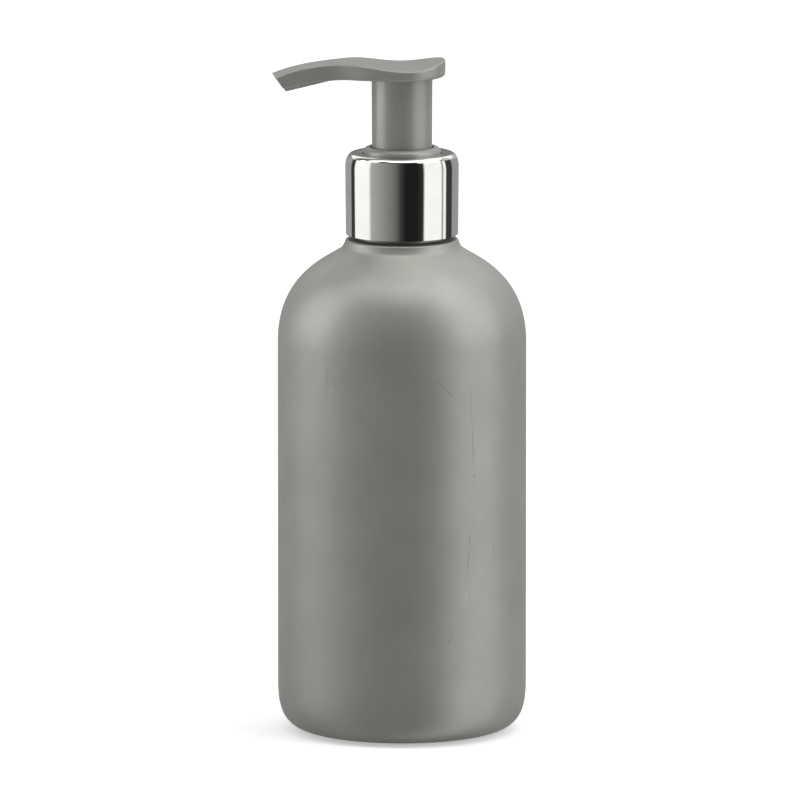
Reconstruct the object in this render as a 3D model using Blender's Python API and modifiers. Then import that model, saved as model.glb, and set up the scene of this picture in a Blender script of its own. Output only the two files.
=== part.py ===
"""Round pump bottle for soap or lotion, modelled piece by piece.

The bottle stands on the plane z = 0 with its axis on the world's Z axis, and the
spout points along -X. Sizes are in metres. Every piece is turned about that axis
except the head, whose thumb pad runs out into an arched spout.
"""
import math

import bmesh
import bpy
from mathutils import Vector

# Clearances
FACE_GAP = 0.00025
FIT_GAP = 0.0002
RUN_GAP = 0.00025
CUT_OVERRUN = 0.002

# Bottle body
BOTTLE_RADIUS = 0.03067
BOTTLE_HEIGHT = 0.1386
BOTTLE_WALL = 0.0013
BASE_WALL = 0.0017
BASE_CORNER_WIDTH = 0.00967
BASE_CORNER_HEIGHT = 0.012
BASE_CORNER_LEAD = 0.0087
BASE_CORNER_LIFT = 0.0065
FOOT_RING_WIDTH = 0.003
BASE_PUSH_UP = 0.0026
DOME_RIM_SHARE = 0.8
DOME_CROWN_SHARE = 0.6
DOME_RISE_SHARE = 0.12
SHOULDER_HEIGHT = 0.0236
SHOULDER_LIFT = 0.0178
SHOULDER_LEAD = 0.0033
SHOULDER_SLOPE = math.radians(49)

# Bottle neck
NECK_HEIGHT = 0.0162
NECK_WALL = 0.0015
LIP_CHAMFER = 0.0003
BEAD_OVERHANG = 0.00035
BEAD_HEIGHT = 0.0017
BEAD_DRAFT = 0.0003
BEAD_ROUND = 0.0007
NECK_FLARE = 0.0028

# Stack of flanges that the collar clamps on the bottle's mouth
GASKET_THICKNESS = 0.0008
HOUSING_FLANGE_THICKNESS = 0.0009
CHAPLET_FLANGE_THICKNESS = 0.0008
CLOSURE_DECK_THICKNESS = 0.001
FLANGE_ROOM = 0.00075

# Metal shell and threaded closure
SHELL_WALL = 0.0004
SHELL_DRAFT = 0.00014
COLLAR_GAP = 0.0012
SHELL_CORNER_WIDTH = 0.0017
SHELL_CORNER_HEIGHT = 0.0033
THREAD_ROOM = 0.0014
CLOSURE_WALL = 0.00106
CLOSURE_RECESS = 0.0004

# Chaplet: the ring that guides the skirt, and the sleeve that closes the pump
CHAPLET_WALL = 0.00185
CHAPLET_RISE = 0.00155
CHAPLET_ROUND = 0.0014
CHAPLET_LIP_CHAMFER = 0.0003
SLEEVE_WALL = 0.00045
WEB_THICKNESS = 0.0012
GUIDE_WALL = 0.00085
GUIDE_HEIGHT = 0.006

# Travel of the plunger
STROKE = 0.0155
HEAD_REST_GAP = 0.0019
SKIRT_ENGAGEMENT = 0.003
SKIRT_FLOOR_GAP = 0.0005

# Actuator: skirt, stem socket, thumb pad and spout
SKIRT_RADIUS = 0.0075
SKIRT_DRAFT = 0.0001
SKIRT_WALL = 0.001
SOCKET_WALL = 0.0012
SOCKET_LENGTH = 0.012
SOCKET_ROOF = 0.0017
CEILING_DROP = 0.0002
HUB_SINK = 0.0007
PAD_RADIUS = 0.0107
DIP_THICKNESS = 0.00255
DIP_SETBACK = 0.0007
REAR_RISE = 0.0019
REAR_SLOPE = 0.3
CREST_RISE = 0.0014
CREST_REACH = 0.0133
TIP_REACH = 0.0318
TIP_DROP = 0.00185
TIP_SLOPE = -0.41
TIP_UNDERCUT = 0.0025
UNDERSIDE_FLAT = 0.011
UNDERSIDE_ARC = 0.067
NECK_REACH = 0.024
SPOUT_HALF_WIDTH = 0.00415
TIP_HALF_WIDTH = 0.0046
PAD_FLOW = 0.0145
SPOUT_FLOW = 0.013
TOP_EDGE_ROUND = 0.0006
LOWER_EDGE_ROUND = 0.001
CHANNEL_RADIUS = 0.0009
OUTLET_RADIUS = 0.00115
CHANNEL_BEND = 0.0018

# Stem, piston and plug
STEM_RADIUS = 0.0035
STEM_BORE = 0.0024
CYLINDER_BORE = 0.0064
PISTON_HEIGHT = 0.008
PISTON_LIP = 0.0014
PISTON_WAIST_DEPTH = 0.0009
PISTON_LEDGE = 0.0028
PISTON_THROAT_ROOM = 0.00055
PISTON_SLIP = 0.0013
PLUG_DISC_ROOM = 0.0012
PLUG_DISC_THICKNESS = 0.0016
PLUG_WAIST_RADIUS = 0.0016
PLUG_SHANK_LENGTH = 0.0065
PLUG_SPIGOT_LENGTH = 0.003
PLUG_FLUTES = 4
PLUG_FLUTE_WIDTH = 0.0011
PLUG_CHAMFER = 0.0004
SPIGOT_RADIUS = 0.0029

# Spring
SPRING_WIRE = 0.0008
SPRING_TURNS = 9
SPRING_SHUT_LENGTH = 0.0095
SPRING_POINTS = 10

# Pump housing, inlet ball and dip tube
HEAD_WALL = 0.0006
STEP_HEIGHT = 0.0017
CYLINDER_WALL = 0.0009
BALL_RADIUS = 0.002
BALL_LIFT = 0.0014
BALL_CAGE_GAP = 0.0006
BALL_LIP = 0.0003
BALL_LIP_HEIGHT = 0.0008
BALL_LIP_TAPER = 0.0005
INLET_RADIUS = 0.0012
INLET_LENGTH = 0.0006
TUBE_RADIUS = 0.0032
TUBE_WALL = 0.0009
TUBE_SOCKET_DEPTH = 0.0098
TUBE_FLOOR_GAP = 0.0012
TUBE_SLANT = 0.0035
VENT_RADIUS = 0.0007

# Facets
BODY_STEPS = 48
RING_STEPS = 40
INNER_STEPS = 28
SMALL_STEPS = 20

# Radii that follow from what fits inside what
chaplet_bore = SKIRT_RADIUS + RUN_GAP
sleeve_radius = chaplet_bore + SLEEVE_WALL
chaplet_radius = chaplet_bore + CHAPLET_WALL
housing_head_bore = sleeve_radius + FIT_GAP
housing_head_radius = housing_head_bore + HEAD_WALL
neck_bore = housing_head_radius + RUN_GAP
neck_radius = neck_bore + NECK_WALL
boss_hole = chaplet_radius + RUN_GAP
closure_bore = neck_radius + THREAD_ROOM
closure_radius = closure_bore + CLOSURE_WALL
flange_radius = closure_bore - FLANGE_ROOM
shell_foot_radius = closure_radius + RUN_GAP + SHELL_WALL
shell_radius = shell_foot_radius + SHELL_DRAFT
bead_radius = shell_radius + BEAD_OVERHANG
guide_bore = STEM_RADIUS + RUN_GAP
guide_radius = guide_bore + GUIDE_WALL
socket_bore = STEM_RADIUS + FIT_GAP
socket_radius = socket_bore + SOCKET_WALL
cylinder_radius = CYLINDER_BORE + CYLINDER_WALL
piston_radius = CYLINDER_BORE - FIT_GAP
piston_waist = piston_radius - PISTON_WAIST_DEPTH
shank_radius = STEM_BORE - FIT_GAP
piston_throat = shank_radius + PISTON_THROAT_ROOM
plug_disc_radius = CYLINDER_BORE - PLUG_DISC_ROOM
spring_radius = (plug_disc_radius + SPIGOT_RADIUS) / 2
tube_socket_bore = TUBE_RADIUS + FIT_GAP
tube_socket_radius = tube_socket_bore + CYLINDER_WALL
ball_cage_bore = BALL_RADIUS + BALL_CAGE_GAP
lip_opening = BALL_RADIUS - BALL_LIP
foot_radius = BOTTLE_RADIUS - BASE_CORNER_WIDTH
weld_distance = FACE_GAP / 100

# Heights of the clamped stack, from the bottle's mouth up
bead_top = BOTTLE_HEIGHT - NECK_HEIGHT
gasket_z = BOTTLE_HEIGHT + FACE_GAP
housing_flange_z = gasket_z + GASKET_THICKNESS + FACE_GAP
housing_top = housing_flange_z + HOUSING_FLANGE_THICKNESS
chaplet_flange_z = housing_top + FACE_GAP
closure_deck_z = chaplet_flange_z + CHAPLET_FLANGE_THICKNESS + FACE_GAP
closure_top = closure_deck_z + CLOSURE_DECK_THICKNESS
shell_top = closure_top + FACE_GAP + SHELL_WALL
shell_foot = bead_top + COLLAR_GAP
closure_foot = shell_foot + CLOSURE_RECESS
chaplet_top = shell_top + CHAPLET_RISE

# Heights of the plunger at rest
head_underside = chaplet_top + STROKE + HEAD_REST_GAP
skirt_foot = chaplet_top - SKIRT_ENGAGEMENT
web_top = skirt_foot - STROKE - SKIRT_FLOOR_GAP
web_underside = web_top - WEB_THICKNESS
step_z = web_underside - FACE_GAP
piston_top = web_underside - FACE_GAP - FIT_GAP
piston_foot = piston_top - PISTON_HEIGHT
piston_ledge_z = piston_foot + PISTON_LEDGE
stem_foot = piston_ledge_z + PISTON_SLIP
stem_top = head_underside - SOCKET_ROOF - FACE_GAP
plug_disc_top = piston_foot - FIT_GAP
plug_disc_foot = plug_disc_top - PLUG_DISC_THICKNESS
plug_top = stem_foot + PLUG_SHANK_LENGTH

# Heights below the piston
spring_top = plug_disc_foot - FIT_GAP
spring_foot = spring_top - STROKE - SPRING_SHUT_LENGTH
cylinder_floor = spring_foot - FIT_GAP
cage_top = cylinder_floor - BALL_LIP_HEIGHT
ball_stop = cage_top - math.sqrt(BALL_RADIUS ** 2 - lip_opening ** 2) - FIT_GAP
ball_centre = ball_stop - BALL_LIFT
seat_touch = (BALL_RADIUS + FIT_GAP) * math.sqrt(2)
seat_foot = ball_centre - seat_touch + INLET_RADIUS
seat_top = seat_foot + ball_cage_bore - INLET_RADIUS
tube_top = seat_foot - INLET_LENGTH - FACE_GAP
tube_socket_foot = tube_top - TUBE_SOCKET_DEPTH
bottle_floor = BASE_PUSH_UP + BASE_WALL
tube_foot = bottle_floor + TUBE_FLOOR_GAP


def clear_scene():
    """Empties the scene and drops what its objects used."""
    for thing in list(bpy.data.objects):
        bpy.data.objects.remove(thing, do_unlink=True)
    for store in (bpy.data.meshes, bpy.data.curves, bpy.data.materials):
        for block in list(store):
            store.remove(block)


def new_collection(name):
    group = bpy.data.collections.new(name)
    bpy.context.scene.collection.children.link(group)
    return group


def finish(name, colour, roughness, metallic=0.0, see_through=0.0):
    """A material with one Principled shader."""
    material = bpy.data.materials.new(name)
    material.use_nodes = True
    shader = material.node_tree.nodes["Principled BSDF"]
    shader.inputs["Base Color"].default_value = (*colour, 1.0)
    shader.inputs["Roughness"].default_value = roughness
    shader.inputs["Metallic"].default_value = metallic
    shader.inputs["Transmission Weight"].default_value = see_through
    material.diffuse_color = (*colour, 1.0)
    return material


def arc(centre, half_width, half_height, start, end, count):
    """Points on an elliptic arc in the plane of a profile, angles in degrees."""
    points = []
    for i in range(count + 1):
        angle = math.radians(start + (end - start) * i / count)
        r = centre[0] + half_width * math.cos(angle)
        z = centre[1] + half_height * math.sin(angle)
        points.append((r, z))
    return points


def bezier(start, lead_out, lead_in, end, count):
    """Points on one cubic curve, both ends included."""
    points = []
    for i in range(count + 1):
        t = i / count
        weights = ((1 - t) ** 3, 3 * t * (1 - t) ** 2, 3 * t ** 2 * (1 - t), t ** 3)
        corners = (start, lead_out, lead_in, end)
        points.append(tuple(sum(w * c[k] for w, c in zip(weights, corners)) for k in (0, 1)))
    return points


def without_repeats(points):
    """Drops each point that lies on the one before it."""
    kept = [points[0]]
    for point in points[1:]:
        if math.dist(point, kept[-1]) > weld_distance:
            kept.append(point)
    return kept


def profile_mesh(name, points, base_z, closed):
    """A line of edges in the XZ plane, its heights counted from base_z."""
    points = without_repeats(points)
    mesh = bpy.data.meshes.new(name)
    vertices = [(r, 0, z - base_z) for r, z in points]
    edges = [(i, i + 1) for i in range(len(points) - 1)]
    if closed:
        edges.append((len(points) - 1, 0))
    mesh.from_pydata(vertices, edges, [])
    return mesh


def turned(name, points, base_z, steps, material, group, closed=True):
    """A profile swept round the Z axis. The profile runs down its outer side."""
    mesh = profile_mesh(name, points, base_z, closed)
    mesh.materials.append(material)
    piece = bpy.data.objects.new(name, mesh)
    piece.location = (0, 0, base_z)
    group.objects.link(piece)
    sweep = piece.modifiers.new("turn", "SCREW")
    sweep.axis = "Z"
    sweep.angle = 2 * math.pi
    sweep.steps = steps
    sweep.render_steps = steps
    sweep.use_merge_vertices = True
    sweep.merge_threshold = weld_distance
    sweep.use_smooth_shade = True
    return piece


def as_cutter(thing):
    thing.hide_render = True
    thing.display_type = "WIRE"
    return thing


def block_cutter(name, size, place, turn, group):
    """A block that takes material away, centred on its place."""
    mesh = bpy.data.meshes.new(name)
    body = bmesh.new()
    bmesh.ops.create_cube(body, size=1)
    bmesh.ops.scale(body, vec=size, verts=body.verts)
    body.to_mesh(mesh)
    body.free()
    block = bpy.data.objects.new(name, mesh)
    block.location = place
    block.rotation_euler = turn
    group.objects.link(block)
    return as_cutter(block)


def combine(piece, other, operation):
    """Adds an exact Boolean of another object to a piece."""
    change = piece.modifiers.new(operation.lower(), "BOOLEAN")
    change.operation = operation
    change.solver = "EXACT"
    change.object = other


def evaluated_mesh(thing):
    """The mesh that an object shows once its modifiers or its bevel have run."""
    bpy.context.view_layer.update()
    graph = bpy.context.evaluated_depsgraph_get()
    return bpy.data.meshes.new_from_object(thing.evaluated_get(graph))


def tube_along(name, points, radii, sides_level, group):
    """A round solid rod along points, as a mesh with its caps welded.

    The radii are one size for the whole rod or one for each point.
    """
    if not isinstance(radii, (list, tuple)):
        radii = [radii] * len(points)
    curve = bpy.data.curves.new(name, "CURVE")
    curve.dimensions = "3D"
    curve.bevel_depth = radii[0]
    curve.bevel_resolution = sides_level
    curve.use_fill_caps = True
    spline = curve.splines.new("POLY")
    spline.points.add(len(points) - 1)
    for corner, point, radius in zip(spline.points, points, radii):
        corner.co = (*point, 1)
        corner.radius = radius / radii[0]
    guide = bpy.data.objects.new(name + "_line", curve)
    group.objects.link(guide)
    mesh = evaluated_mesh(guide)
    body = bmesh.new()
    body.from_mesh(mesh)
    bmesh.ops.remove_doubles(body, verts=body.verts, dist=weld_distance)
    bmesh.ops.recalc_face_normals(body, faces=body.faces)
    body.to_mesh(mesh)
    body.free()
    mesh.name = name
    rod = bpy.data.objects.new(name, mesh)
    rod.matrix_world = guide.matrix_world
    group.objects.link(rod)
    bpy.data.objects.remove(guide, do_unlink=True)
    bpy.data.curves.remove(curve)
    return rod


# Bottle

def shoulder_curve(inset, count):
    """The shoulder from the body up to the neck bead, set in by a wall's thickness."""
    shoulder_top = bead_top - BEAD_HEIGHT - BEAD_DRAFT
    body_top = shoulder_top - SHOULDER_HEIGHT
    end_r = bead_radius + BEAD_DRAFT
    normal_r = inset * math.sin(SHOULDER_SLOPE)
    normal_z = inset * math.cos(SHOULDER_SLOPE)
    lead_r = end_r + SHOULDER_LEAD * math.cos(SHOULDER_SLOPE)
    lead_z = shoulder_top - SHOULDER_LEAD * math.sin(SHOULDER_SLOPE)
    return bezier(
        (BOTTLE_RADIUS - inset, body_top),
        (BOTTLE_RADIUS - inset, body_top + SHOULDER_LIFT),
        (lead_r - normal_r, lead_z - normal_z),
        (end_r - normal_r, shoulder_top - normal_z),
        count,
    )


def base_corner(inset, lift, count):
    """The base's soft corner from the foot ring up to the wall, set in by its wall."""
    shrink = (BASE_CORNER_WIDTH - inset) / BASE_CORNER_WIDTH
    return bezier(
        (foot_radius, lift),
        (foot_radius + BASE_CORNER_LEAD * shrink, lift),
        (BOTTLE_RADIUS - inset, BASE_CORNER_HEIGHT - BASE_CORNER_LIFT * shrink),
        (BOTTLE_RADIUS - inset, BASE_CORNER_HEIGHT),
        count,
    )


def base_dome(lift, count):
    """The push-up under the base, from the foot ring's inner edge to the axis."""
    ring_inside = foot_radius - FOOT_RING_WIDTH
    return bezier(
        (ring_inside, lift),
        (ring_inside * DOME_RIM_SHARE, lift + BASE_PUSH_UP * DOME_RISE_SHARE),
        (ring_inside * DOME_CROWN_SHARE, lift + BASE_PUSH_UP),
        (0, lift + BASE_PUSH_UP),
        count,
    )


def bottle_outside():
    """From the mouth down the neck, bead, shoulder and wall to the middle of the base."""
    bead_edge = bead_radius - BEAD_DRAFT
    points = [
        (neck_bore, BOTTLE_HEIGHT - LIP_CHAMFER),
        (neck_bore + LIP_CHAMFER, BOTTLE_HEIGHT),
        (neck_radius - LIP_CHAMFER, BOTTLE_HEIGHT),
        (neck_radius, BOTTLE_HEIGHT - LIP_CHAMFER),
        (neck_radius, bead_top),
    ]
    points += arc(
        (bead_edge - BEAD_ROUND, bead_top - BEAD_ROUND), BEAD_ROUND, BEAD_ROUND, 90, 0, 3
    )
    points.append((bead_radius, bead_top - BEAD_HEIGHT))
    points += reversed(shoulder_curve(0, 12))
    points += reversed(base_corner(0, 0, 8))
    points += base_dome(0, 5)
    return points


def bottle_inside():
    """From the middle of the floor up the wall and the shoulder to the neck's bore."""
    points = list(reversed(base_dome(BASE_WALL, 4)))
    points += base_corner(BOTTLE_WALL, BASE_WALL, 6)
    points += shoulder_curve(BOTTLE_WALL, 9)
    last_r, last_z = points[-1]
    lead = (
        last_r - NECK_FLARE * math.cos(SHOULDER_SLOPE),
        last_z + NECK_FLARE * math.sin(SHOULDER_SLOPE),
    )
    points += bezier(
        (last_r, last_z),
        lead,
        (neck_bore, bead_top - NECK_FLARE / 2),
        (neck_bore, bead_top + NECK_FLARE / 2),
        4,
    )
    return points


def make_bottle(group, material):
    """The blown body, hollow and open at the neck."""
    outline = bottle_inside() + bottle_outside()
    return turned("bottle", outline, 0, BODY_STEPS, material, group, closed=False)


# Collar

def make_gasket(group, material):
    """A flat foam ring that seals the pump's flange on the bottle's mouth."""
    top = gasket_z + GASKET_THICKNESS
    outline = [
        (flange_radius, top),
        (flange_radius, gasket_z),
        (neck_bore, gasket_z),
        (neck_bore, top),
    ]
    return turned("neck_gasket", outline, gasket_z, RING_STEPS, material, group)


def make_closure(group, material):
    """The threaded cap, drawn at its thread's clearance."""
    corner_r = closure_radius - SHELL_CORNER_WIDTH
    corner_z = closure_top - SHELL_CORNER_HEIGHT
    outline = [(boss_hole, closure_top)]
    outline += arc(
        (corner_r, corner_z), SHELL_CORNER_WIDTH, SHELL_CORNER_HEIGHT, 90, 0, 4
    )
    outline += [
        (closure_radius, closure_foot),
        (closure_bore + LIP_CHAMFER, closure_foot),
        (closure_bore, closure_foot + LIP_CHAMFER),
        (closure_bore, closure_deck_z),
        (boss_hole, closure_deck_z),
    ]
    return turned("closure", outline, closure_foot, RING_STEPS, material, group)


def make_collar_shell(group, material):
    """The bright metal cover: a thin cup with a soft shoulder and an open deck."""
    corner_r = shell_radius - SHELL_CORNER_WIDTH
    corner_z = shell_top - SHELL_CORNER_HEIGHT
    inner_width = SHELL_CORNER_WIDTH - SHELL_WALL
    inner_height = SHELL_CORNER_HEIGHT - SHELL_WALL
    outline = [(boss_hole, shell_top)]
    outline += arc(
        (corner_r, corner_z), SHELL_CORNER_WIDTH, SHELL_CORNER_HEIGHT, 90, 0, 7
    )
    outline += [
        (shell_foot_radius, shell_foot),
        (shell_foot_radius - SHELL_WALL, shell_foot),
    ]
    outline += arc((corner_r, corner_z), inner_width, inner_height, 0, 90, 5)
    outline.append((boss_hole, shell_top - SHELL_WALL))
    return turned("collar_shell", outline, shell_foot, BODY_STEPS, material, group)


# Pump body

def make_chaplet(group, material):
    """Guide ring, flange, thin sleeve, and a web with the stem's guide tube."""
    round_r = chaplet_radius - CHAPLET_ROUND
    round_z = chaplet_top - CHAPLET_ROUND
    flange_top = chaplet_flange_z + CHAPLET_FLANGE_THICKNESS
    lip_r = chaplet_bore + CHAPLET_LIP_CHAMFER
    outline = [(lip_r, chaplet_top)]
    outline += arc((round_r, round_z), CHAPLET_ROUND, CHAPLET_ROUND, 90, 0, 4)
    outline += [
        (chaplet_radius, flange_top),
        (flange_radius, flange_top),
        (flange_radius, chaplet_flange_z),
        (sleeve_radius, chaplet_flange_z),
        (sleeve_radius, web_underside),
        (guide_bore, web_underside),
        (guide_bore, web_top + GUIDE_HEIGHT),
        (guide_radius, web_top + GUIDE_HEIGHT),
        (guide_radius, web_top),
        (chaplet_bore, web_top),
        (chaplet_bore, chaplet_top - CHAPLET_LIP_CHAMFER),
    ]
    return turned("chaplet", outline, chaplet_flange_z, RING_STEPS, material, group)


def housing_outline():
    """Flange, wide head, pump cylinder, ball cage with its seat, and tube socket."""
    taper_foot = step_z - STEP_HEIGHT
    cage_radius = ball_cage_bore + CYLINDER_WALL
    bell = tube_socket_radius - cage_radius
    return [
        (housing_head_bore, housing_top),
        (flange_radius, housing_top),
        (flange_radius, housing_flange_z),
        (housing_head_radius, housing_flange_z),
        (housing_head_radius, step_z - HEAD_WALL),
        (cylinder_radius, taper_foot - HEAD_WALL),
        (cylinder_radius, cylinder_floor),
        (cylinder_radius - CYLINDER_WALL, cylinder_floor - CYLINDER_WALL),
        (cage_radius, cylinder_floor - CYLINDER_WALL),
        (cage_radius, tube_top + bell),
        (tube_socket_radius, tube_top),
        (tube_socket_radius, tube_socket_foot),
        (tube_socket_bore + LIP_CHAMFER, tube_socket_foot),
        (tube_socket_bore, tube_socket_foot + LIP_CHAMFER),
        (tube_socket_bore, tube_top + FACE_GAP),
        (INLET_RADIUS, tube_top + FACE_GAP),
        (INLET_RADIUS, seat_foot),
        (ball_cage_bore, seat_top),
        (ball_cage_bore, cage_top - BALL_LIP_TAPER),
        (lip_opening, cage_top),
        (lip_opening, cylinder_floor),
        (CYLINDER_BORE, cylinder_floor),
        (CYLINDER_BORE, step_z),
        (housing_head_bore, step_z),
    ]


def make_housing(group, cutters, material):
    """The pump's cylinder, with the air vent that the resting piston covers."""
    housing = turned(
        "housing", housing_outline(), housing_flange_z, INNER_STEPS, material, group
    )
    vent_z = piston_foot + PISTON_HEIGHT / 2
    reach = cylinder_radius + CUT_OVERRUN
    drill = tube_along(
        "vent_drill", [(0, 0, vent_z), (0, reach, vent_z)], VENT_RADIUS, 1, cutters
    )
    as_cutter(drill)
    combine(housing, drill, "DIFFERENCE")
    return housing


def make_dip_tube(group, cutters, material):
    """A plain tube whose lower end is cut on the slant, so that it can't seal."""
    inside = TUBE_RADIUS - TUBE_WALL
    blank_foot = tube_foot - CUT_OVERRUN
    outline = [
        (TUBE_RADIUS, tube_top),
        (TUBE_RADIUS, blank_foot),
        (inside, blank_foot),
        (inside, tube_top),
    ]
    tube = turned("dip_tube", outline, tube_top, SMALL_STEPS, material, group)
    slope = math.atan2(TUBE_SLANT, 2 * TUBE_RADIUS)
    side = 4 * (TUBE_RADIUS + CUT_OVERRUN)
    down = Vector((-math.sin(slope), 0, -math.cos(slope)))
    place = Vector((0, 0, tube_foot + TUBE_SLANT / 2)) + down * side / 2
    block = block_cutter("slant_block", (side, side, side), place, (0, slope, 0), cutters)
    combine(tube, block, "DIFFERENCE")
    return tube


def make_inlet_ball(group, material):
    """The ball that lies on the inlet seat and lets liquid up only."""
    mesh = bpy.data.meshes.new("inlet_ball")
    body = bmesh.new()
    bmesh.ops.create_uvsphere(body, u_segments=14, v_segments=8, radius=BALL_RADIUS)
    body.to_mesh(mesh)
    body.free()
    mesh.shade_smooth()
    mesh.materials.append(material)
    ball = bpy.data.objects.new("inlet_ball", mesh)
    ball.location = (0, 0, ball_centre)
    group.objects.link(ball)
    return ball


def spring_points():
    """The wire's centre line: a closed end turn, the open turns, a closed end turn."""
    low = spring_foot + SPRING_WIRE / 2
    high = spring_top - SPRING_WIRE / 2
    end_pitch = SPRING_WIRE + 2 * FACE_GAP
    open_turns = SPRING_TURNS - 2
    open_pitch = (high - low - 2 * end_pitch) / open_turns
    points = []
    for i in range(SPRING_TURNS * SPRING_POINTS + 1):
        turn = i / SPRING_POINTS
        height = low + end_pitch * min(turn, 1)
        height += open_pitch * min(max(turn - 1, 0), open_turns)
        height += end_pitch * max(turn - 1 - open_turns, 0)
        angle = 2 * math.pi * turn
        points.append((spring_radius * math.cos(angle), spring_radius * math.sin(angle), height))
    return points


def least_gap(points, wire):
    """The least gap of a wire to itself, one turn or more further on."""
    least = math.inf
    for i, here in enumerate(points):
        for there in points[i + SPRING_POINTS // 2:]:
            least = min(least, math.dist(here, there) - wire)
    return least


def make_spring(group, material):
    """The return spring, which the plug presses down."""
    points = spring_points()
    print("spring: least gap to itself", round(least_gap(points, SPRING_WIRE) * 1000, 3), "mm")
    local = [(x, y, z - spring_foot) for x, y, z in points]
    spring = tube_along("spring", local, SPRING_WIRE / 2, 1, group)
    spring.location = (0, 0, spring_foot)
    spring.data.shade_smooth()
    spring.data.materials.append(material)
    return spring


# Plunger

def make_piston(group, material):
    """A sleeve with a wiping lip at each end, a bore for the stem and a ledge."""
    outline = [
        (guide_bore, piston_top),
        (piston_radius - PISTON_LIP / 2, piston_top),
        (piston_radius, piston_top - PISTON_LIP / 3),
        (piston_radius, piston_top - PISTON_LIP),
        (piston_waist, piston_top - 2 * PISTON_LIP),
        (piston_waist, piston_foot + 2 * PISTON_LIP),
        (piston_radius, piston_foot + PISTON_LIP),
        (piston_radius, piston_foot),
        (piston_throat, piston_foot),
        (piston_throat, piston_ledge_z),
        (guide_bore, piston_ledge_z),
    ]
    return turned("piston", outline, piston_foot, INNER_STEPS, material, group)


def make_piston_plug(group, cutters, material):
    """Fluted shank for the stem, a waist, the valve disc and the spring's spigot."""
    spigot_foot = plug_disc_foot - PLUG_SPIGOT_LENGTH
    shank_foot = piston_ledge_z
    outline = [
        (0, plug_top),
        (shank_radius - PLUG_CHAMFER, plug_top),
        (shank_radius, plug_top - PLUG_CHAMFER),
        (shank_radius, shank_foot + PLUG_CHAMFER),
        (PLUG_WAIST_RADIUS, shank_foot),
        (PLUG_WAIST_RADIUS, plug_disc_top),
        (plug_disc_radius - PLUG_CHAMFER, plug_disc_top),
        (plug_disc_radius, plug_disc_top - PLUG_CHAMFER),
        (plug_disc_radius, plug_disc_foot),
        (SPIGOT_RADIUS, plug_disc_foot),
        (SPIGOT_RADIUS, spigot_foot + PLUG_CHAMFER),
        (SPIGOT_RADIUS - PLUG_CHAMFER, spigot_foot),
        (0, spigot_foot),
    ]
    plug = turned(
        "piston_plug", outline, plug_disc_foot, SMALL_STEPS, material, group, closed=False
    )
    flute_length = plug_top - shank_foot + CUT_OVERRUN
    size = (2 * PLUG_FLUTE_WIDTH, PLUG_FLUTE_WIDTH, flute_length)
    for i in range(PLUG_FLUTES):
        angle = 2 * math.pi * (i + 0.5) / PLUG_FLUTES
        place = (
            shank_radius * math.cos(angle),
            shank_radius * math.sin(angle),
            shank_foot + flute_length / 2,
        )
        name = "flute_%d" % (i + 1)
        flute = block_cutter(name, size, place, (0, 0, angle), cutters)
        combine(plug, flute, "DIFFERENCE")
    return plug


def make_stem(group, material):
    """A hollow tube that is pressed into the head and carries the liquid up."""
    outline = [
        (STEM_RADIUS - LIP_CHAMFER, stem_top),
        (STEM_RADIUS, stem_top - LIP_CHAMFER),
        (STEM_RADIUS, stem_foot),
        (STEM_BORE, stem_foot),
        (STEM_BORE, stem_top),
    ]
    return turned("stem", outline, stem_foot, INNER_STEPS, material, group)


# Head

def between(value, low, high):
    return min(max(value, low), high)


def joined_curve(start, end, start_slope, end_slope, at):
    """Height at a place on the curve that leaves start and meets end at given slopes."""
    span = end[0] - start[0]
    t = between((at - start[0]) / span, 0, 1)
    rest = at - between(at, min(start[0], end[0]), max(start[0], end[0]))
    rise = (3 - 2 * t) * t * t
    out = t * (1 - t) ** 2 * span * start_slope
    back = t * t * (t - 1) * span * end_slope
    level = start[1] * (1 - rise) + end[1] * rise + out + back
    return level + rest * (end_slope if t > 0 else start_slope)


def top_line(reach):
    """Height of the head's upper face, reach counted from the axis to the tip."""
    dip = (-DIP_SETBACK, head_underside + DIP_THICKNESS)
    rear = (-PAD_RADIUS, dip[1] + REAR_RISE)
    crest = (CREST_REACH, dip[1] + CREST_RISE)
    tip = (TIP_REACH, dip[1] - TIP_DROP)
    if reach < dip[0]:
        return joined_curve(dip, rear, 0, -REAR_SLOPE, reach)
    if reach < crest[0]:
        return joined_curve(dip, crest, 0, 0, reach)
    return joined_curve(crest, tip, 0, TIP_SLOPE, reach)


def under_line(reach):
    """Height of the underside: flat below the pad, then one long arc."""
    past = max(reach - UNDERSIDE_FLAT, 0)
    return head_underside - UNDERSIDE_ARC + math.sqrt(UNDERSIDE_ARC ** 2 - past ** 2)


def half_plan():
    """One side of the head seen from above, as (reach, half width) points."""
    points = [(-x, w) for x, w in arc((0, 0), PAD_RADIUS, PAD_RADIUS, 0, 90, 14)]
    points += bezier(
        (0, PAD_RADIUS),
        (PAD_FLOW, PAD_RADIUS),
        (NECK_REACH - SPOUT_FLOW, SPOUT_HALF_WIDTH),
        (NECK_REACH, SPOUT_HALF_WIDTH),
        14,
    )[1:]
    points.append((TIP_REACH, TIP_HALF_WIDTH))
    points.append((TIP_REACH + CUT_OVERRUN, TIP_HALF_WIDTH))
    return points


def distance_to_outline(place, outline):
    """The least distance from a place to a closed outline in the plane."""
    least = math.inf
    for i, start in enumerate(outline):
        run = outline[(i + 1) % len(outline)] - start
        share = between((place - start).dot(run) / run.length_squared, 0, 1)
        least = min(least, (place - start - run * share).length)
    return least


def round_over(depth, radius):
    """How far a rounded edge lies off its face, at a depth in from the rim."""
    if depth >= radius:
        return 0.0
    return radius - math.sqrt(max(radius ** 2 - (radius - depth) ** 2, 0))


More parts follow.
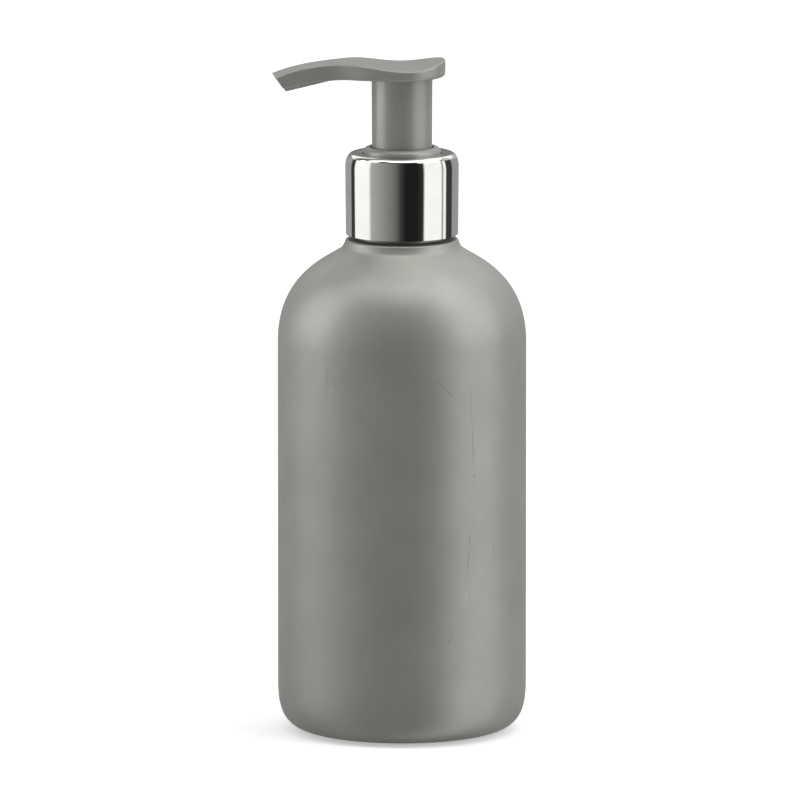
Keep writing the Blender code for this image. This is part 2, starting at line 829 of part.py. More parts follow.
def head_sheet(outline, radius, segments, height):
    """One face of the head: rings of its rounded edge, then strips from side to side."""
    sheet = bmesh.new()
    corners = [sheet.verts.new((p.x, p.y, 0)) for p in outline]
    inner = sheet.faces.new(corners)
    depth = 0
    for i in range(1, segments + 1):
        next_depth = radius * (1 - math.cos(math.pi / 2 * i / segments))
        bmesh.ops.inset_region(
            sheet,
            faces=[inner],
            thickness=next_depth - depth,
            use_boundary=True,
            use_even_offset=True,
        )
        depth = next_depth
    core = [inner]
    stations = sorted({vertex.co.x for vertex in inner.verts if vertex.co.y > 0})
    for station in stations:
        edges = {edge for face in core for edge in face.edges}
        vertices = {vertex for face in core for vertex in face.verts}
        result = bmesh.ops.bisect_plane(
            sheet,
            geom=core + list(edges) + list(vertices),
            plane_co=(station, 0, 0),
            plane_no=(1, 0, 0),
            dist=weld_distance,
        )
        core = [item for item in result["geom"] if isinstance(item, bmesh.types.BMFace)]
    for vertex in sheet.verts:
        place = Vector((vertex.co.x, vertex.co.y))
        off = round_over(distance_to_outline(place, outline), radius)
        vertex.co.z = height(-vertex.co.x, off)
    return sheet


def head_solid(group, material):
    """Thumb pad and spout as one body, closed by the slanted end face."""
    half = half_plan()
    outline = [Vector((-reach, width)) for reach, width in half if width > FACE_GAP]
    outline += [Vector((-reach, -width)) for reach, width in reversed(half)]
    top = head_sheet(outline, TOP_EDGE_ROUND, 2, lambda reach, off: top_line(reach) - off)
    under = head_sheet(
        outline, LOWER_EDGE_ROUND, 3, lambda reach, off: under_line(reach) + off
    )
    mesh = bpy.data.meshes.new("head_top")
    top.to_mesh(mesh)
    under.from_mesh(mesh)
    rims = [edge for edge in under.edges if edge.is_boundary]
    bmesh.ops.bridge_loops(under, edges=rims)
    tip_top = Vector((-TIP_REACH, 0, top_line(TIP_REACH)))
    tip_reach_below = TIP_REACH - TIP_UNDERCUT
    tip_below = Vector((-tip_reach_below, 0, under_line(tip_reach_below)))
    slant = tip_below - tip_top
    outward = Vector((slant.z, 0, -slant.x)).normalized()
    bmesh.ops.bisect_plane(
        under,
        geom=under.verts[:] + under.edges[:] + under.faces[:],
        plane_co=tip_top,
        plane_no=outward,
        clear_outer=True,
    )
    bmesh.ops.holes_fill(under, edges=[e for e in under.edges if e.is_boundary])
    bmesh.ops.recalc_face_normals(under, faces=under.faces)
    under.to_mesh(mesh)
    top.free()
    under.free()
    mesh.name = "actuator"
    mesh.materials.append(material)
    head = bpy.data.objects.new("actuator", mesh)
    group.objects.link(head)
    return head


def channel_route():
    """Centre line and radii of the liquid's way from the stem to the spout's end."""
    roof = stem_top + FACE_GAP
    level = (top_line(0) + head_underside) / 2
    bend = arc((-CHANNEL_BEND, level - CHANNEL_BEND), CHANNEL_BEND, CHANNEL_BEND, 0, 90, 4)
    points = [(0, 0, roof - CUT_OVERRUN)] + [(x, 0, z) for x, z in bend]
    radii = [CHANNEL_RADIUS] * len(points)
    runs = 7
    for i in range(1, runs + 1):
        reach = CHANNEL_BEND + (TIP_REACH - CHANNEL_BEND) * i / runs
        middle = (top_line(reach) + under_line(reach)) / 2
        points.append((-reach, 0, middle))
        radii.append(CHANNEL_RADIUS + (OUTLET_RADIUS - CHANNEL_RADIUS) * i / runs)
    x, y, z = points[-1]
    points.append((x - CUT_OVERRUN, y, z + CUT_OVERRUN * TIP_SLOPE))
    radii.append(OUTLET_RADIUS)
    return points, radii


def make_actuator(group, cutters, material):
    """The pressed head: pad and spout, skirt, stem socket and flow channel."""
    head = head_solid(group, material)
    hub_top = head_underside + HUB_SINK
    ceiling = head_underside - CEILING_DROP
    skirt_mouth = SKIRT_RADIUS - SKIRT_DRAFT
    socket_foot = head_underside - SOCKET_LENGTH
    outline = [
        (0, hub_top),
        (SKIRT_RADIUS, hub_top),
        (SKIRT_RADIUS, head_underside),
        (skirt_mouth, skirt_foot),
        (skirt_mouth - SKIRT_WALL, skirt_foot),
        (SKIRT_RADIUS - SKIRT_WALL, ceiling),
        (socket_radius, ceiling),
        (socket_radius, socket_foot),
        (socket_bore, socket_foot),
        (socket_bore, stem_top + FACE_GAP),
        (0, stem_top + FACE_GAP),
    ]
    hub = turned("skirt_and_socket", outline, 0, RING_STEPS, material, cutters, closed=False)
    as_cutter(hub)
    route, radii = channel_route()
    channel = tube_along("flow_channel", route, radii, 2, cutters)
    as_cutter(channel)
    combine(head, hub, "UNION")
    combine(head, channel, "DIFFERENCE")
    return head


# Assembly

def empty_at(name, height, parent, group):
    """A handle on the bottle's axis that the pieces of one moving group hang from."""
    handle = bpy.data.objects.new(name, None)
    handle.empty_display_size = BOTTLE_RADIUS
    handle.location = (0, 0, height)
    group.objects.link(handle)
    attach(handle, parent)
    return handle


def attach(child, parent):
    """Parents a child and keeps it where it stands."""
    if parent is None:
        return
    bpy.context.view_layer.update()
    child.parent = parent
    child.matrix_parent_inverse = parent.matrix_world.inverted()


def main():
    clear_scene()
    parts = new_collection("pump_bottle")
    cutters = new_collection("cutters")

    painted_grey = finish("painted_grey", (0.235, 0.24, 0.225), 0.42, 0.35)
    moulded_grey = finish("moulded_grey", (0.2, 0.205, 0.19), 0.45)
    bright_metal = finish("bright_metal", (0.86, 0.86, 0.84), 0.06, 1.0)
    natural_plastic = finish("natural_plastic", (0.82, 0.83, 0.8), 0.4)
    valve_plastic = finish("valve_plastic", (0.72, 0.74, 0.73), 0.35)
    liner_foam = finish("liner_foam", (0.85, 0.85, 0.83), 0.8)
    spring_steel = finish("spring_steel", (0.6, 0.6, 0.58), 0.25, 1.0)
    tube_plastic = finish("tube_plastic", (0.86, 0.87, 0.86), 0.3, see_through=0.4)

    bottle = make_bottle(parts, painted_grey)
    gasket = make_gasket(parts, liner_foam)
    closure = make_closure(parts, moulded_grey)
    collar_shell = make_collar_shell(parts, bright_metal)
    chaplet = make_chaplet(parts, moulded_grey)
    housing = make_housing(parts, cutters, natural_plastic)
    dip_tube = make_dip_tube(parts, cutters, tube_plastic)
    inlet_ball = make_inlet_ball(parts, spring_steel)
    spring = make_spring(parts, spring_steel)
    piston = make_piston(parts, valve_plastic)
    plug = make_piston_plug(parts, cutters, natural_plastic)
    stem = make_stem(parts, natural_plastic)
    actuator = make_actuator(parts, cutters, moulded_grey)

    lift_out = empty_at("lift_out_axis", BOTTLE_HEIGHT, bottle, parts)
    pump_body = empty_at("unscrew_rise_axis", gasket_z, lift_out, parts)
    collar = empty_at("collar_turn_axis", closure_foot, pump_body, parts)
    plunger = empty_at("stroke_axis", plug_disc_foot, pump_body, parts)
    head = empty_at("head_turn_axis", head_underside, plunger, parts)
    attach(gasket, lift_out)
    for piece in (housing, chaplet, dip_tube, inlet_ball, spring):
        attach(piece, pump_body)
    for piece in (closure, collar_shell):
        attach(piece, collar)
    for piece in (plug, piston):
        attach(piece, plunger)
    for piece in (stem, actuator):
        attach(piece, head)


main()
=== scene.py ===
"""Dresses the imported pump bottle: smooth pieces, threads, finishes, stage and camera."""

import math

import bmesh
import bpy
from bpy.props import FloatProperty, FloatVectorProperty, IntProperty, PointerProperty
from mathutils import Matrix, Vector


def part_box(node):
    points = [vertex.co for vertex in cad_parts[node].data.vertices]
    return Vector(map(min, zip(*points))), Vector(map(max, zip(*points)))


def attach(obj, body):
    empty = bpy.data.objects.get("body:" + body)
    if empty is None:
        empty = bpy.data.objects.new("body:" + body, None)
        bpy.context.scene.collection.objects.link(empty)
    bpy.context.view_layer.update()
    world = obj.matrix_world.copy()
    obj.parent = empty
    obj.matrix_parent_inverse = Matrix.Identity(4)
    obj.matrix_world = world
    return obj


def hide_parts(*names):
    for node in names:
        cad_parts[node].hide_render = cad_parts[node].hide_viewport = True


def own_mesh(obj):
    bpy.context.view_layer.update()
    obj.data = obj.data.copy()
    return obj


bl_info = {
    "name": "Pump bottle",
    "version": (1, 0, 0),
    "blender": (4, 5, 0),
    "location": "View3D > Sidebar > Pump bottle",
    "description": "Makes a satin pump bottle with a mirror collar round its packed solids",
    "category": "Object",
}

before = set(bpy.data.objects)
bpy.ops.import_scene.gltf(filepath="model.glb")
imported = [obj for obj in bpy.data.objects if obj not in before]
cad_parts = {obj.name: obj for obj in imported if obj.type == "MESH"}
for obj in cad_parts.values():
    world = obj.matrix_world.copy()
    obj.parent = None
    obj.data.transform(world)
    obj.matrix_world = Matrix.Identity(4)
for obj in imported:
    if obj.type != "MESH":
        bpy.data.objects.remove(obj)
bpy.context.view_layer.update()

BOTTLE_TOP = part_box("bottle")[1]
SHELL_LOW, SHELL_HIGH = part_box("collar_shell")
CLOSURE_LOW, CLOSURE_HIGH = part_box("closure")
CHAPLET_LOW, CHAPLET_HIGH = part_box("chaplet")
HOUSING_LOW, HOUSING_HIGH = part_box("housing")
TUBE_LOW, TUBE_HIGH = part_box("dip_tube")
SPRING_LOW, SPRING_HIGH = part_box("spring")
HEAD_LOW, HEAD_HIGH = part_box("actuator")
STEM_LOW, STEM_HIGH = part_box("stem")

TURN = 2 * math.pi
WELD = 0.000002
SMOOTH_ANGLE = math.radians(35)
THREAD_STEPS = 128
# From the mouth down to the top end of the neck's thread
THREAD_DROP = 0.0027


def size_of(name, description, default):
    return FloatProperty(
        name=name, description=description, default=default, unit="LENGTH", precision=5
    )


def amount_of(name, description, default):
    return FloatProperty(name=name, description=description, default=default, min=0)


def angle_of(name, description, degrees):
    angle = math.radians(degrees)
    return FloatProperty(name=name, description=description, default=angle, subtype="ANGLE")


def count_of(name, description, default):
    return IntProperty(name=name, description=description, default=default, min=3)


def colour_of(name, description, default):
    return FloatVectorProperty(
        name=name, description=description, default=default, subtype="COLOR", min=0, max=1
    )


class BottleSettings(bpy.types.PropertyGroup):
    wall: size_of("Wall", "Thickness of the blown wall", 0.0013)
    floor: size_of("Floor", "Thickness of the base", 0.0017)
    corner_width: size_of("Corner width", "Width of the base's soft corner", 0.00967)
    corner_height: size_of("Corner height", "Height of the base's soft corner", 0.012)
    corner_lead: size_of("Corner lead", "How long the corner stays level", 0.0087)
    corner_lift: size_of("Corner lift", "How long the corner stays upright", 0.0065)
    foot_ring: size_of("Foot ring", "Width of the flat ring it stands on", 0.003)
    push_up: size_of("Push-up", "Rise of the base inside the foot ring", 0.0026)
    shoulder_height: size_of("Shoulder", "Height of the shoulder's curve", 0.0236)
    shoulder_lift: size_of("Shoulder lift", "How long the shoulder stays upright", 0.0178)
    shoulder_lead: size_of("Shoulder lead", "How straight the shoulder meets the neck", 0.0033)
    neck_height: size_of("Neck", "Height of the neck above its bead", 0.0162)
    neck_radius: size_of("Neck radius", "Outer radius of the neck between threads", 0.01075)
    neck_bore: size_of("Neck bore", "Inner radius of the neck", 0.00925)
    bead_radius: size_of("Bead radius", "Outer radius of the bead under the collar", 0.01435)
    bead_height: size_of("Bead height", "Height of the bead's upright side", 0.0017)
    thread_radius: size_of("Thread radius", "Outer radius of the neck's thread", 0.0119)
    thread_pitch: size_of("Thread pitch", "Rise of the thread in one turn", 0.003175)
    steps: count_of("Steps", "Facets round the bottle", 192)
    paint: colour_of("Paint", "Colour of the satin paint", (0.39, 0.395, 0.363))
    inside: colour_of("Inside", "Colour of the bare plastic inside", (0.62, 0.63, 0.6))


class CollarSettings(bpy.types.PropertyGroup):
    shell_wall: size_of("Shell wall", "Thickness of the metal cover", 0.0004)
    corner_width: size_of("Corner width", "Width of the cover's shoulder", 0.0017)
    corner_height: size_of("Corner height", "Height of the cover's shoulder", 0.0033)
    foot_radius: size_of("Foot radius", "Radius of the cover at its lower edge", 0.01386)
    edge_round: size_of("Edge round", "Rounding of the cover's cut edges", 0.00012)
    crease: angle_of("Crease", "How far up the shoulder the wall's straight shading runs", 48.8)
    bore: size_of("Closure bore", "Inner radius of the threaded cap", 0.01215)
    hole: size_of("Hole", "Radius of the hole in the deck", 0.00985)
    deck: size_of("Deck", "Thickness of the threaded cap's deck", 0.001)
    metal: colour_of("Metal", "Colour of the polished cover", (0.925, 0.94, 0.885))


class HeadSettings(bpy.types.PropertyGroup):
    pad_radius: size_of("Pad radius", "Radius of the thumb pad", 0.0107)
    underside: size_of("Underside", "Height of the pad's flat underside", 0.1627)
    dip_thickness: size_of("Dip thickness", "Thickness at the pad's lowest point", 0.00255)
    dip_setback: size_of("Dip setback", "How far behind the axis the pad is lowest", 0.0007)
    rear_rise: size_of("Rear rise", "Rise from the dip to the rear edge", 0.0019)
    crest_rise: size_of("Crest rise", "Rise from the dip to the spout's crest", 0.0014)
    crest_reach: size_of("Crest reach", "Distance from the axis to the crest", 0.0133)
    tip_reach: size_of("Tip reach", "Distance from the axis to the spout's tip", 0.0318)
    tip_drop: size_of("Tip drop", "Fall from the dip to the spout's tip", 0.00185)
    tip_undercut: size_of("Tip undercut", "How far the tip's face slants back", 0.0025)
    under_flat: size_of("Flat underside", "Where the underside starts to bend", 0.011)
    under_arc: size_of("Underside arc", "Radius of the spout's underside", 0.067)
    neck_reach: size_of("Neck reach", "Where the spout is narrowest", 0.024)
    neck_half: size_of("Spout half width", "Half the spout's width at its narrowest", 0.00415)
    tip_half: size_of("Tip half width", "Half the spout's width at its tip", 0.0046)
    pad_flow: size_of("Pad flow", "How long the pad's side runs straight", 0.0145)
    spout_flow: size_of("Spout flow", "How long the spout's side runs straight", 0.013)
    top_round: size_of("Top edge", "Rounding of the upper edge", 0.0006)
    low_round: size_of("Lower edge", "Rounding of the lower edge", 0.001)
    tip_round: size_of("Tip edge", "Rounding round the spout's end face", 0.00028)
    skirt_radius: size_of("Skirt radius", "Outer radius of the skirt", 0.0075)
    skirt_wall: size_of("Skirt wall", "Thickness of the skirt", 0.001)
    socket_bore: size_of("Socket bore", "Radius of the stem's socket", 0.0037)
    socket_wall: size_of("Socket wall", "Thickness of the stem's socket", 0.0012)
    socket_length: size_of("Socket length", "Length of the stem's socket", 0.012)
    outlet_radius: size_of("Outlet", "Radius of the hole in the tip", 0.0012)
    plastic: colour_of("Plastic", "Colour of the moulded grey plastic", (0.35, 0.353, 0.328))


class WorksSettings(bpy.types.PropertyGroup):
    wire: size_of("Wire", "Thickness of the spring's wire", 0.0008)
    spring_turns: count_of("Turns", "Turns of the spring", 9)
    natural: colour_of("Natural plastic", "Colour of the uncoloured plastic", (0.8, 0.81, 0.78))
    steel: colour_of("Steel", "Colour of the drawn wire", (0.62, 0.61, 0.59))


class StageSettings(bpy.types.PropertyGroup):
    floor_size: size_of("Floor", "Width of the floor", 6.0)
    floor_colour: colour_of("Floor colour", "Colour of the floor", (0.82, 0.82, 0.82))
    distance: size_of("Camera distance", "From the camera to the bottle", 4.0)
    elevation: angle_of("Elevation", "Camera angle above the horizon", 9.1)
    yaw: angle_of("Turn", "How far the spout is turned towards the camera", 5.6)
    lens: amount_of("Lens", "Focal length in millimetres", 729.4)
    aim_height: size_of("Aim height", "Height of the picture's centre", 0.08205)
    aim_side: size_of("Aim side", "Picture's centre beside the axis", 0.00049)
    side_lamp: amount_of("Side lamp", "Light of the lamp to the left of the bottle", 1.8)
    side_lamp_away: size_of("Side lamp away", "From the axis to the side lamp", 0.35)
    side_lamp_width: size_of("Side lamp width", "Width of the side lamp", 0.25)
    side_lamp_foot: size_of("Side lamp foot", "Height of the side lamp's lower edge", 0.09)
    side_lamp_height: size_of("Side lamp height", "Height of the side lamp's panel", 0.34)
    back_lamp: amount_of("Back lamp", "Light of the lamp high behind the bottle", 1.0)
    overhead: amount_of("Overhead", "Light of the overhead lamp", 2.4)
    floor_glow: amount_of("Floor glow", "Extra paleness of the floor as the camera sees it", 0.41)


SETTINGS = {
    "bottle_settings": BottleSettings,
    "collar_settings": CollarSettings,
    "head_settings": HeadSettings,
    "works_settings": WorksSettings,
    "stage_settings": StageSettings,
}


# Modelling helpers


def arc(centre, half_width, half_height, start, end, count):
    """Points on an elliptic arc of a profile, angles in degrees."""
    points = []
    for i in range(count + 1):
        angle = math.radians(start + (end - start) * i / count)
        points.append(
            (centre[0] + half_width * math.cos(angle), centre[1] + half_height * math.sin(angle))
        )
    return points


def rounded(x, z, radius, start, end, count):
    """Rounds a profile's sharp corner, from one direction of its circle to the next."""
    middle = math.radians((start + end) / 2)
    across = math.copysign(radius, math.cos(middle))
    up = math.copysign(radius, math.sin(middle))
    return arc((x - across, z - up), radius, radius, start, end, count)


def bezier(corners, count):
    """Points on one cubic curve through its four control points."""
    points = []
    for i in range(count + 1):
        t = i / count
        weights = ((1 - t) ** 3, 3 * t * (1 - t) ** 2, 3 * t * t * (1 - t), t**3)
        points.append(tuple(sum(w * c[k] for w, c in zip(weights, corners)) for k in (0, 1)))
    return points


def object_mode():
    if bpy.context.object and bpy.context.object.mode != "OBJECT":
        bpy.ops.object.mode_set(mode="OBJECT")


def deselect():
    object_mode()
    bpy.ops.object.select_all(action="DESELECT")


def activate(piece):
    deselect()
    piece.select_set(True)
    bpy.context.view_layer.objects.active = piece


def edit_all(piece):
    activate(piece)
    bpy.ops.object.mode_set(mode="EDIT")
    bpy.ops.mesh.select_all(action="SELECT")


def apply_all(piece):
    """Applies every modifier of a piece, in order."""
    activate(piece)
    for modifier in list(piece.modifiers):
        bpy.ops.object.modifier_apply(modifier=modifier.name)


def drawn_line(name, points, closed):
    """A chain of vertices in the XZ plane, extruded point by point; left in edit mode."""
    deselect()
    bpy.ops.mesh.primitive_plane_add(size=WELD * 10)
    piece = bpy.context.object
    piece.name = piece.data.name = name
    bpy.ops.object.mode_set(mode="EDIT")
    bpy.ops.mesh.select_all(action="SELECT")
    bpy.ops.mesh.merge(type="CENTER")
    bpy.ops.transform.translate(value=(points[0][0], 0, points[0][1]))
    here = points[0]
    for point in points[1:]:
        step = (point[0] - here[0], 0, point[1] - here[1])
        if Vector(step).length > WELD:
            bpy.ops.mesh.extrude_region_move(TRANSFORM_OT_translate={"value": step})
            here = point
    if closed:
        mesh = bmesh.from_edit_mesh(piece.data)
        ends = [v for v in mesh.verts if len(v.link_edges) == 1]
        for vertex in mesh.verts:
            vertex.select_set(vertex in ends)
        mesh.select_flush_mode()
        bmesh.update_edit_mesh(piece.data)
        bpy.ops.mesh.edge_face_add()
    bpy.ops.mesh.select_all(action="SELECT")
    return piece


def tidy_faces(piece):
    """Merges doubles and turns every face outwards; ends in object mode."""
    bpy.ops.mesh.select_all(action="SELECT")
    bpy.ops.mesh.remove_doubles(threshold=WELD)
    bpy.ops.mesh.normals_make_consistent(inside=False)
    bpy.ops.object.mode_set(mode="OBJECT")
    activate(piece)
    bpy.ops.object.shade_smooth_by_angle(angle=SMOOTH_ANGLE)


def lathe(name, points, steps, closed=True):
    """A profile drawn point by point and spun round the axis."""
    piece = drawn_line(name, points, closed)
    bpy.ops.mesh.spin(steps=steps, angle=TURN, center=(0, 0, 0), axis=(0, 0, 1))
    tidy_faces(piece)
    return piece


def combine(piece, other, operation):
    """Joins or cuts with another closed piece, which is then removed."""
    change = piece.modifiers.new("combine", "BOOLEAN")
    change.operation = operation
    change.solver = "EXACT"
    change.object = other
    apply_all(piece)
    bpy.data.objects.remove(other, do_unlink=True)
    activate(piece)
    bpy.ops.object.shade_smooth_by_angle(angle=SMOOTH_ANGLE)


def even_normals(piece):
    """Lets the large faces set the shading where small ones meet them."""
    change = piece.modifiers.new("even_normals", "WEIGHTED_NORMAL")
    change.keep_sharp = True
    apply_all(piece)


def select_where(piece, kind, test):
    """Selects the vertices, edges or faces for which the test holds, in edit mode."""
    mesh = bmesh.from_edit_mesh(piece.data)
    for group in (mesh.verts, mesh.edges, mesh.faces):
        for item in group:
            item.select = False
    for item in getattr(mesh, kind):
        if test(item):
            item.select_set(True)
    mesh.select_flush(True)
    bmesh.update_edit_mesh(piece.data)


def helical_ridge(name, section, low, turns, pitch, fade):
    """A thread's ridge: its section screwed upwards, and both ends faded by scaling.

    The section is (root radius, crest radius, half its height at the root, and at the crest),
    with minus heights where it is drawn downwards. Fade is the radial scale at the ends.
    """
    root, crest, tall, flat = section
    count = round(THREAD_STEPS * turns)
    outline = [(root, low - tall), (crest, low - flat), (crest, low + flat), (root, low + tall)]
    piece = drawn_line(name, outline, True)
    bpy.ops.object.mode_set(mode="OBJECT")
    screw = piece.modifiers.new("thread", "SCREW")
    screw.axis = "Z"
    screw.angle = TURN * turns
    screw.screw_offset = pitch * turns
    screw.steps = count
    screw.render_steps = count
    screw.use_merge_vertices = False
    apply_all(piece)
    size = len(outline)
    rings = len(piece.data.vertices) // size
    ramp = round(THREAD_STEPS / 10)
    bpy.ops.object.mode_set(mode="EDIT")
    for ring in (*range(ramp), *range(rings - ramp, rings)):
        along = min(ring, rings - 1 - ring) / ramp
        scale = fade + (1 - fade) * math.sin(along * math.pi / 2)
        select_where(piece, "verts", lambda v: v.index // size == ring)
        bpy.ops.transform.resize(value=(scale, scale, 1), center_override=(0, 0, 0))
    for ring in (0, rings - 1):
        select_where(piece, "verts", lambda v: v.index // size == ring)
        bpy.ops.mesh.edge_face_add()
    tidy_faces(piece)
    return piece


def give(piece, body, slot, materials, *replaced):
    """Puts a finished piece on its body with its finish, in place of CAD nodes."""
    piece.data.materials.clear()
    for material in materials:
        piece.data.materials.append(material)
    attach(piece, body)
    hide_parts(*replaced)


# Shader helpers


def fill(tree, made, inputs):
    """Links or sets each named input of a node."""
    for name, value in inputs.items():
        if isinstance(value, bpy.types.NodeSocket):
            tree.links.new(value, made.inputs[name])
        else:
            made.inputs[name].default_value = value
    return made


def node(tree, kind, inputs=None, **settings):
    """Adds a node, sets its options and fills its inputs."""
    made = tree.nodes.new(kind)
    for name, value in settings.items():
        setattr(made, name, value)
    return fill(tree, made, inputs or {})


def maths(tree, operation, first, second, third=0.0, clamp=False):
    inputs = {0: first, 1: second, 2: third}
    made = node(tree, "ShaderNodeMath", inputs, operation=operation, use_clamp=clamp)
    return made.outputs[0]


def vector_maths(tree, operation, first, second, output="Vector"):
    made = node(tree, "ShaderNodeVectorMath", {0: first, 1: second}, operation=operation)
    return made.outputs[output]


def scaled(tree, vector, factor):
    inputs = {"Vector": vector, "Scale": factor}
    return node(tree, "ShaderNodeVectorMath", inputs, operation="SCALE").outputs["Vector"]


def spread(tree, value, low, high, to_low=0.0, to_high=1.0):
    """Maps a value's range to another and clamps it."""
    ends = {"From Min": low, "From Max": high, "To Min": to_low, "To Max": to_high}
    return node(tree, "ShaderNodeMapRange", {"Value": value, **ends}).outputs["Result"]


# Where the mix node keeps its factor, its two colours and its result
MIX_INPUTS, MIX_OUTPUT = (0, 6, 7), 2


def blended(tree, factor, first, second):
    """Mixes two colours."""
    ends = [
        value if isinstance(value, bpy.types.NodeSocket) else (*value, 1)
        for value in (first, second)
    ]
    places = dict(zip(MIX_INPUTS, (factor, *ends)))
    return node(tree, "ShaderNodeMix", places, data_type="RGBA").outputs[MIX_OUTPUT]


def new_group(name, inputs, outputs):
    """A shader node group that takes a Vector and these inputs and gives these values.

    Returns its tree, the sockets of its inputs and its output node.
    """
    tree = bpy.data.node_groups.new(name, "ShaderNodeTree")
    tree.interface.new_socket("Vector", in_out="INPUT", socket_type="NodeSocketVector")
    for label, default in inputs.items():
        kind = "NodeSocketVector" if isinstance(default, tuple) else "NodeSocketFloat"
        socket = tree.interface.new_socket(label, in_out="INPUT", socket_type=kind)
        socket.default_value = default
    for label in outputs:
        tree.interface.new_socket(label, in_out="OUTPUT", socket_type="NodeSocketFloat")
    return tree, tree.nodes.new("NodeGroupInput").outputs, tree.nodes.new("NodeGroupOutput")


def noise_of(tree, **inputs):
    return node(tree, "ShaderNodeTexNoise", inputs).outputs["Fac"]


def make_grain_group():
    """Fine two-scale grain of a moulded or sprayed surface."""
    tree, given, result = new_group(
        "surface_grain",
        {"Fine": 4000.0, "Broad": 120.0, "Stretch": (1.0, 1.0, 1.0)},
        ("Height", "Tone"),
    )
    place = vector_maths(tree, "MULTIPLY", given["Vector"], given["Stretch"])
    fine = noise_of(tree, Vector=place, Scale=given["Fine"], Detail=2.0, Roughness=0.6)
    broad = noise_of(tree, Vector=place, Scale=given["Broad"], Detail=4.0, Roughness=0.55)
    fill(tree, result, {"Height": fine, "Tone": broad})
    return tree


def make_handling_group():
    """Smudges from fingers and hairline scratches in short broken runs."""
    tree, given, result = new_group(
        "handling_marks",
        {"Smudge Scale": 90.0, "Hairline Scale": 160.0, "Run": (1.0, 1.0, 0.12)},
        ("Smudge", "Hairline"),
    )
    place, size = given["Vector"], given["Smudge Scale"]
    soft = noise_of(tree, Vector=place, Scale=size, Detail=5.0, Roughness=0.62, Distortion=0.6)
    smudge = spread(tree, soft, 0.48, 0.7)
    run = vector_maths(tree, "MULTIPLY", place, given["Run"])
    bent = node(tree, "ShaderNodeTexNoise", {"Vector": run, "Scale": 60.0, "Detail": 2.0})
    swayed = vector_maths(tree, "ADD", run, scaled(tree, bent.outputs["Color"], 0.004))
    inputs = {"Vector": swayed, "Scale": given["Hairline Scale"]}
    cells = node(tree, "ShaderNodeTexVoronoi", inputs, feature="DISTANCE_TO_EDGE")
    thin = spread(tree, cells.outputs["Distance"], 0.0, 0.012, 1.0, 0.0)
    broken = noise_of(tree, Vector=place, Scale=140.0, Detail=2.0)
    patches = spread(tree, broken, 0.6, 0.68)
    hairline = maths(tree, "MULTIPLY", thin, patches)
    fill(tree, result, {"Smudge": smudge, "Hairline": hairline})
    return tree


def make_mark_group():
    """One straight mark between two places, fading at its sides and ends."""
    tree, given, result = new_group(
        "line_mark",
        {"Start": (0.0, 0.0, 0.0), "End": (0.0, 0.0, 0.01), "Width": 0.0002},
        ("Mask",),
    )
    reach = vector_maths(tree, "SUBTRACT", given["Vector"], given["Start"])
    line = vector_maths(tree, "SUBTRACT", given["End"], given["Start"])
    along = vector_maths(tree, "DOT_PRODUCT", reach, line, "Value")
    whole = vector_maths(tree, "DOT_PRODUCT", line, line, "Value")
    share = maths(tree, "DIVIDE", along, whole, clamp=True)
    off = vector_maths(tree, "DISTANCE", reach, scaled(tree, line, share), "Value")
    fade = {"Value": maths(tree, "DIVIDE", off, given["Width"]), "To Min": 1.0, "To Max": 0.0}
    side = node(tree, "ShaderNodeMapRange", fade, interpolation_type="SMOOTHSTEP")
    fill(tree, result, {"Mask": side.outputs["Result"]})
    return tree


def shared_group(name):
    makers = {
        "surface_grain": make_grain_group,
        "handling_marks": make_handling_group,
        "line_mark": make_mark_group,
    }
    return bpy.data.node_groups.get(name) or makers[name]()


def placed_group(tree, name, inputs):
    return node(tree, "ShaderNodeGroup", inputs, node_tree=shared_group(name))


def new_material(name, **constants):
    """A material with its tree, its Principled shader and the object coordinates."""
    material = bpy.data.materials.new(name)
    material.use_nodes = True
    tree = material.node_tree
    shader = tree.nodes["Principled BSDF"]
    for label, value in constants.items():
        shader.inputs[label.replace("_", " ")].default_value = value
    place = node(tree, "ShaderNodeTexCoord").outputs["Object"]
    return material, tree, shader, place


def bumped(tree, shader, height, strength, distance, **below):
    """Bumps the shader's surface, on top of another bump when its Normal is given."""
    inputs = {"Height": height, "Strength": strength, "Distance": distance, **below}
    normal = node(tree, "ShaderNodeBump", inputs).outputs["Normal"]
    fill(tree, shader, {"Normal": normal})
    return normal


def shaded(colour, factor):
    return tuple(min(c * factor, 1) for c in colour)


def grain_of(tree, place, fine, broad, stretch=(1.0, 1.0, 1.0)):
    inputs = {"Vector": place, "Fine": fine, "Broad": broad, "Stretch": stretch}
    return placed_group(tree, "surface_grain", inputs).outputs


def handling_of(tree, place, smudges, hairlines):
    inputs = {"Vector": place, "Smudge Scale": smudges, "Hairline Scale": hairlines}
    return placed_group(tree, "handling_marks", inputs).outputs


# Finishes

# Knocks in the paint, each a bump dent whose colour is darkened as painted shade: both ends as
# (degrees to the right of the front, height), and a half width
CREASES = (
    ((11.3, 0.0913), (18.0, 0.0872), 0.00024),
    ((27.8, 0.0890), (28.7, 0.0780), 0.00012),
    ((28.7, 0.0780), (29.1, 0.0723), 0.00026),
    ((29.1, 0.0723), (29.7, 0.0676), 0.00013),
    ((29.7, 0.0676), (29.7, 0.0670), 0.00040),
    ((27.4, 0.0527), (26.9, 0.0498), 0.00026),
    ((26.8, 0.0480), (26.2, 0.0443), 0.00028),
    ((26.2, 0.0443), (25.5, 0.0414), 0.00018),
    ((41.6, 0.0502), (41.6, 0.0467), 0.00018),
    ((18.1, 0.0285), (16.4, 0.0260), 0.00026),
    ((-42.1, 0.0894), (-43.0, 0.0913), 0.00022),
    ((-43.0, 0.0913), (-41.6, 0.0936), 0.00016),
    ((-30.7, 0.0453), (-29.7, 0.0452), 0.00022),
)
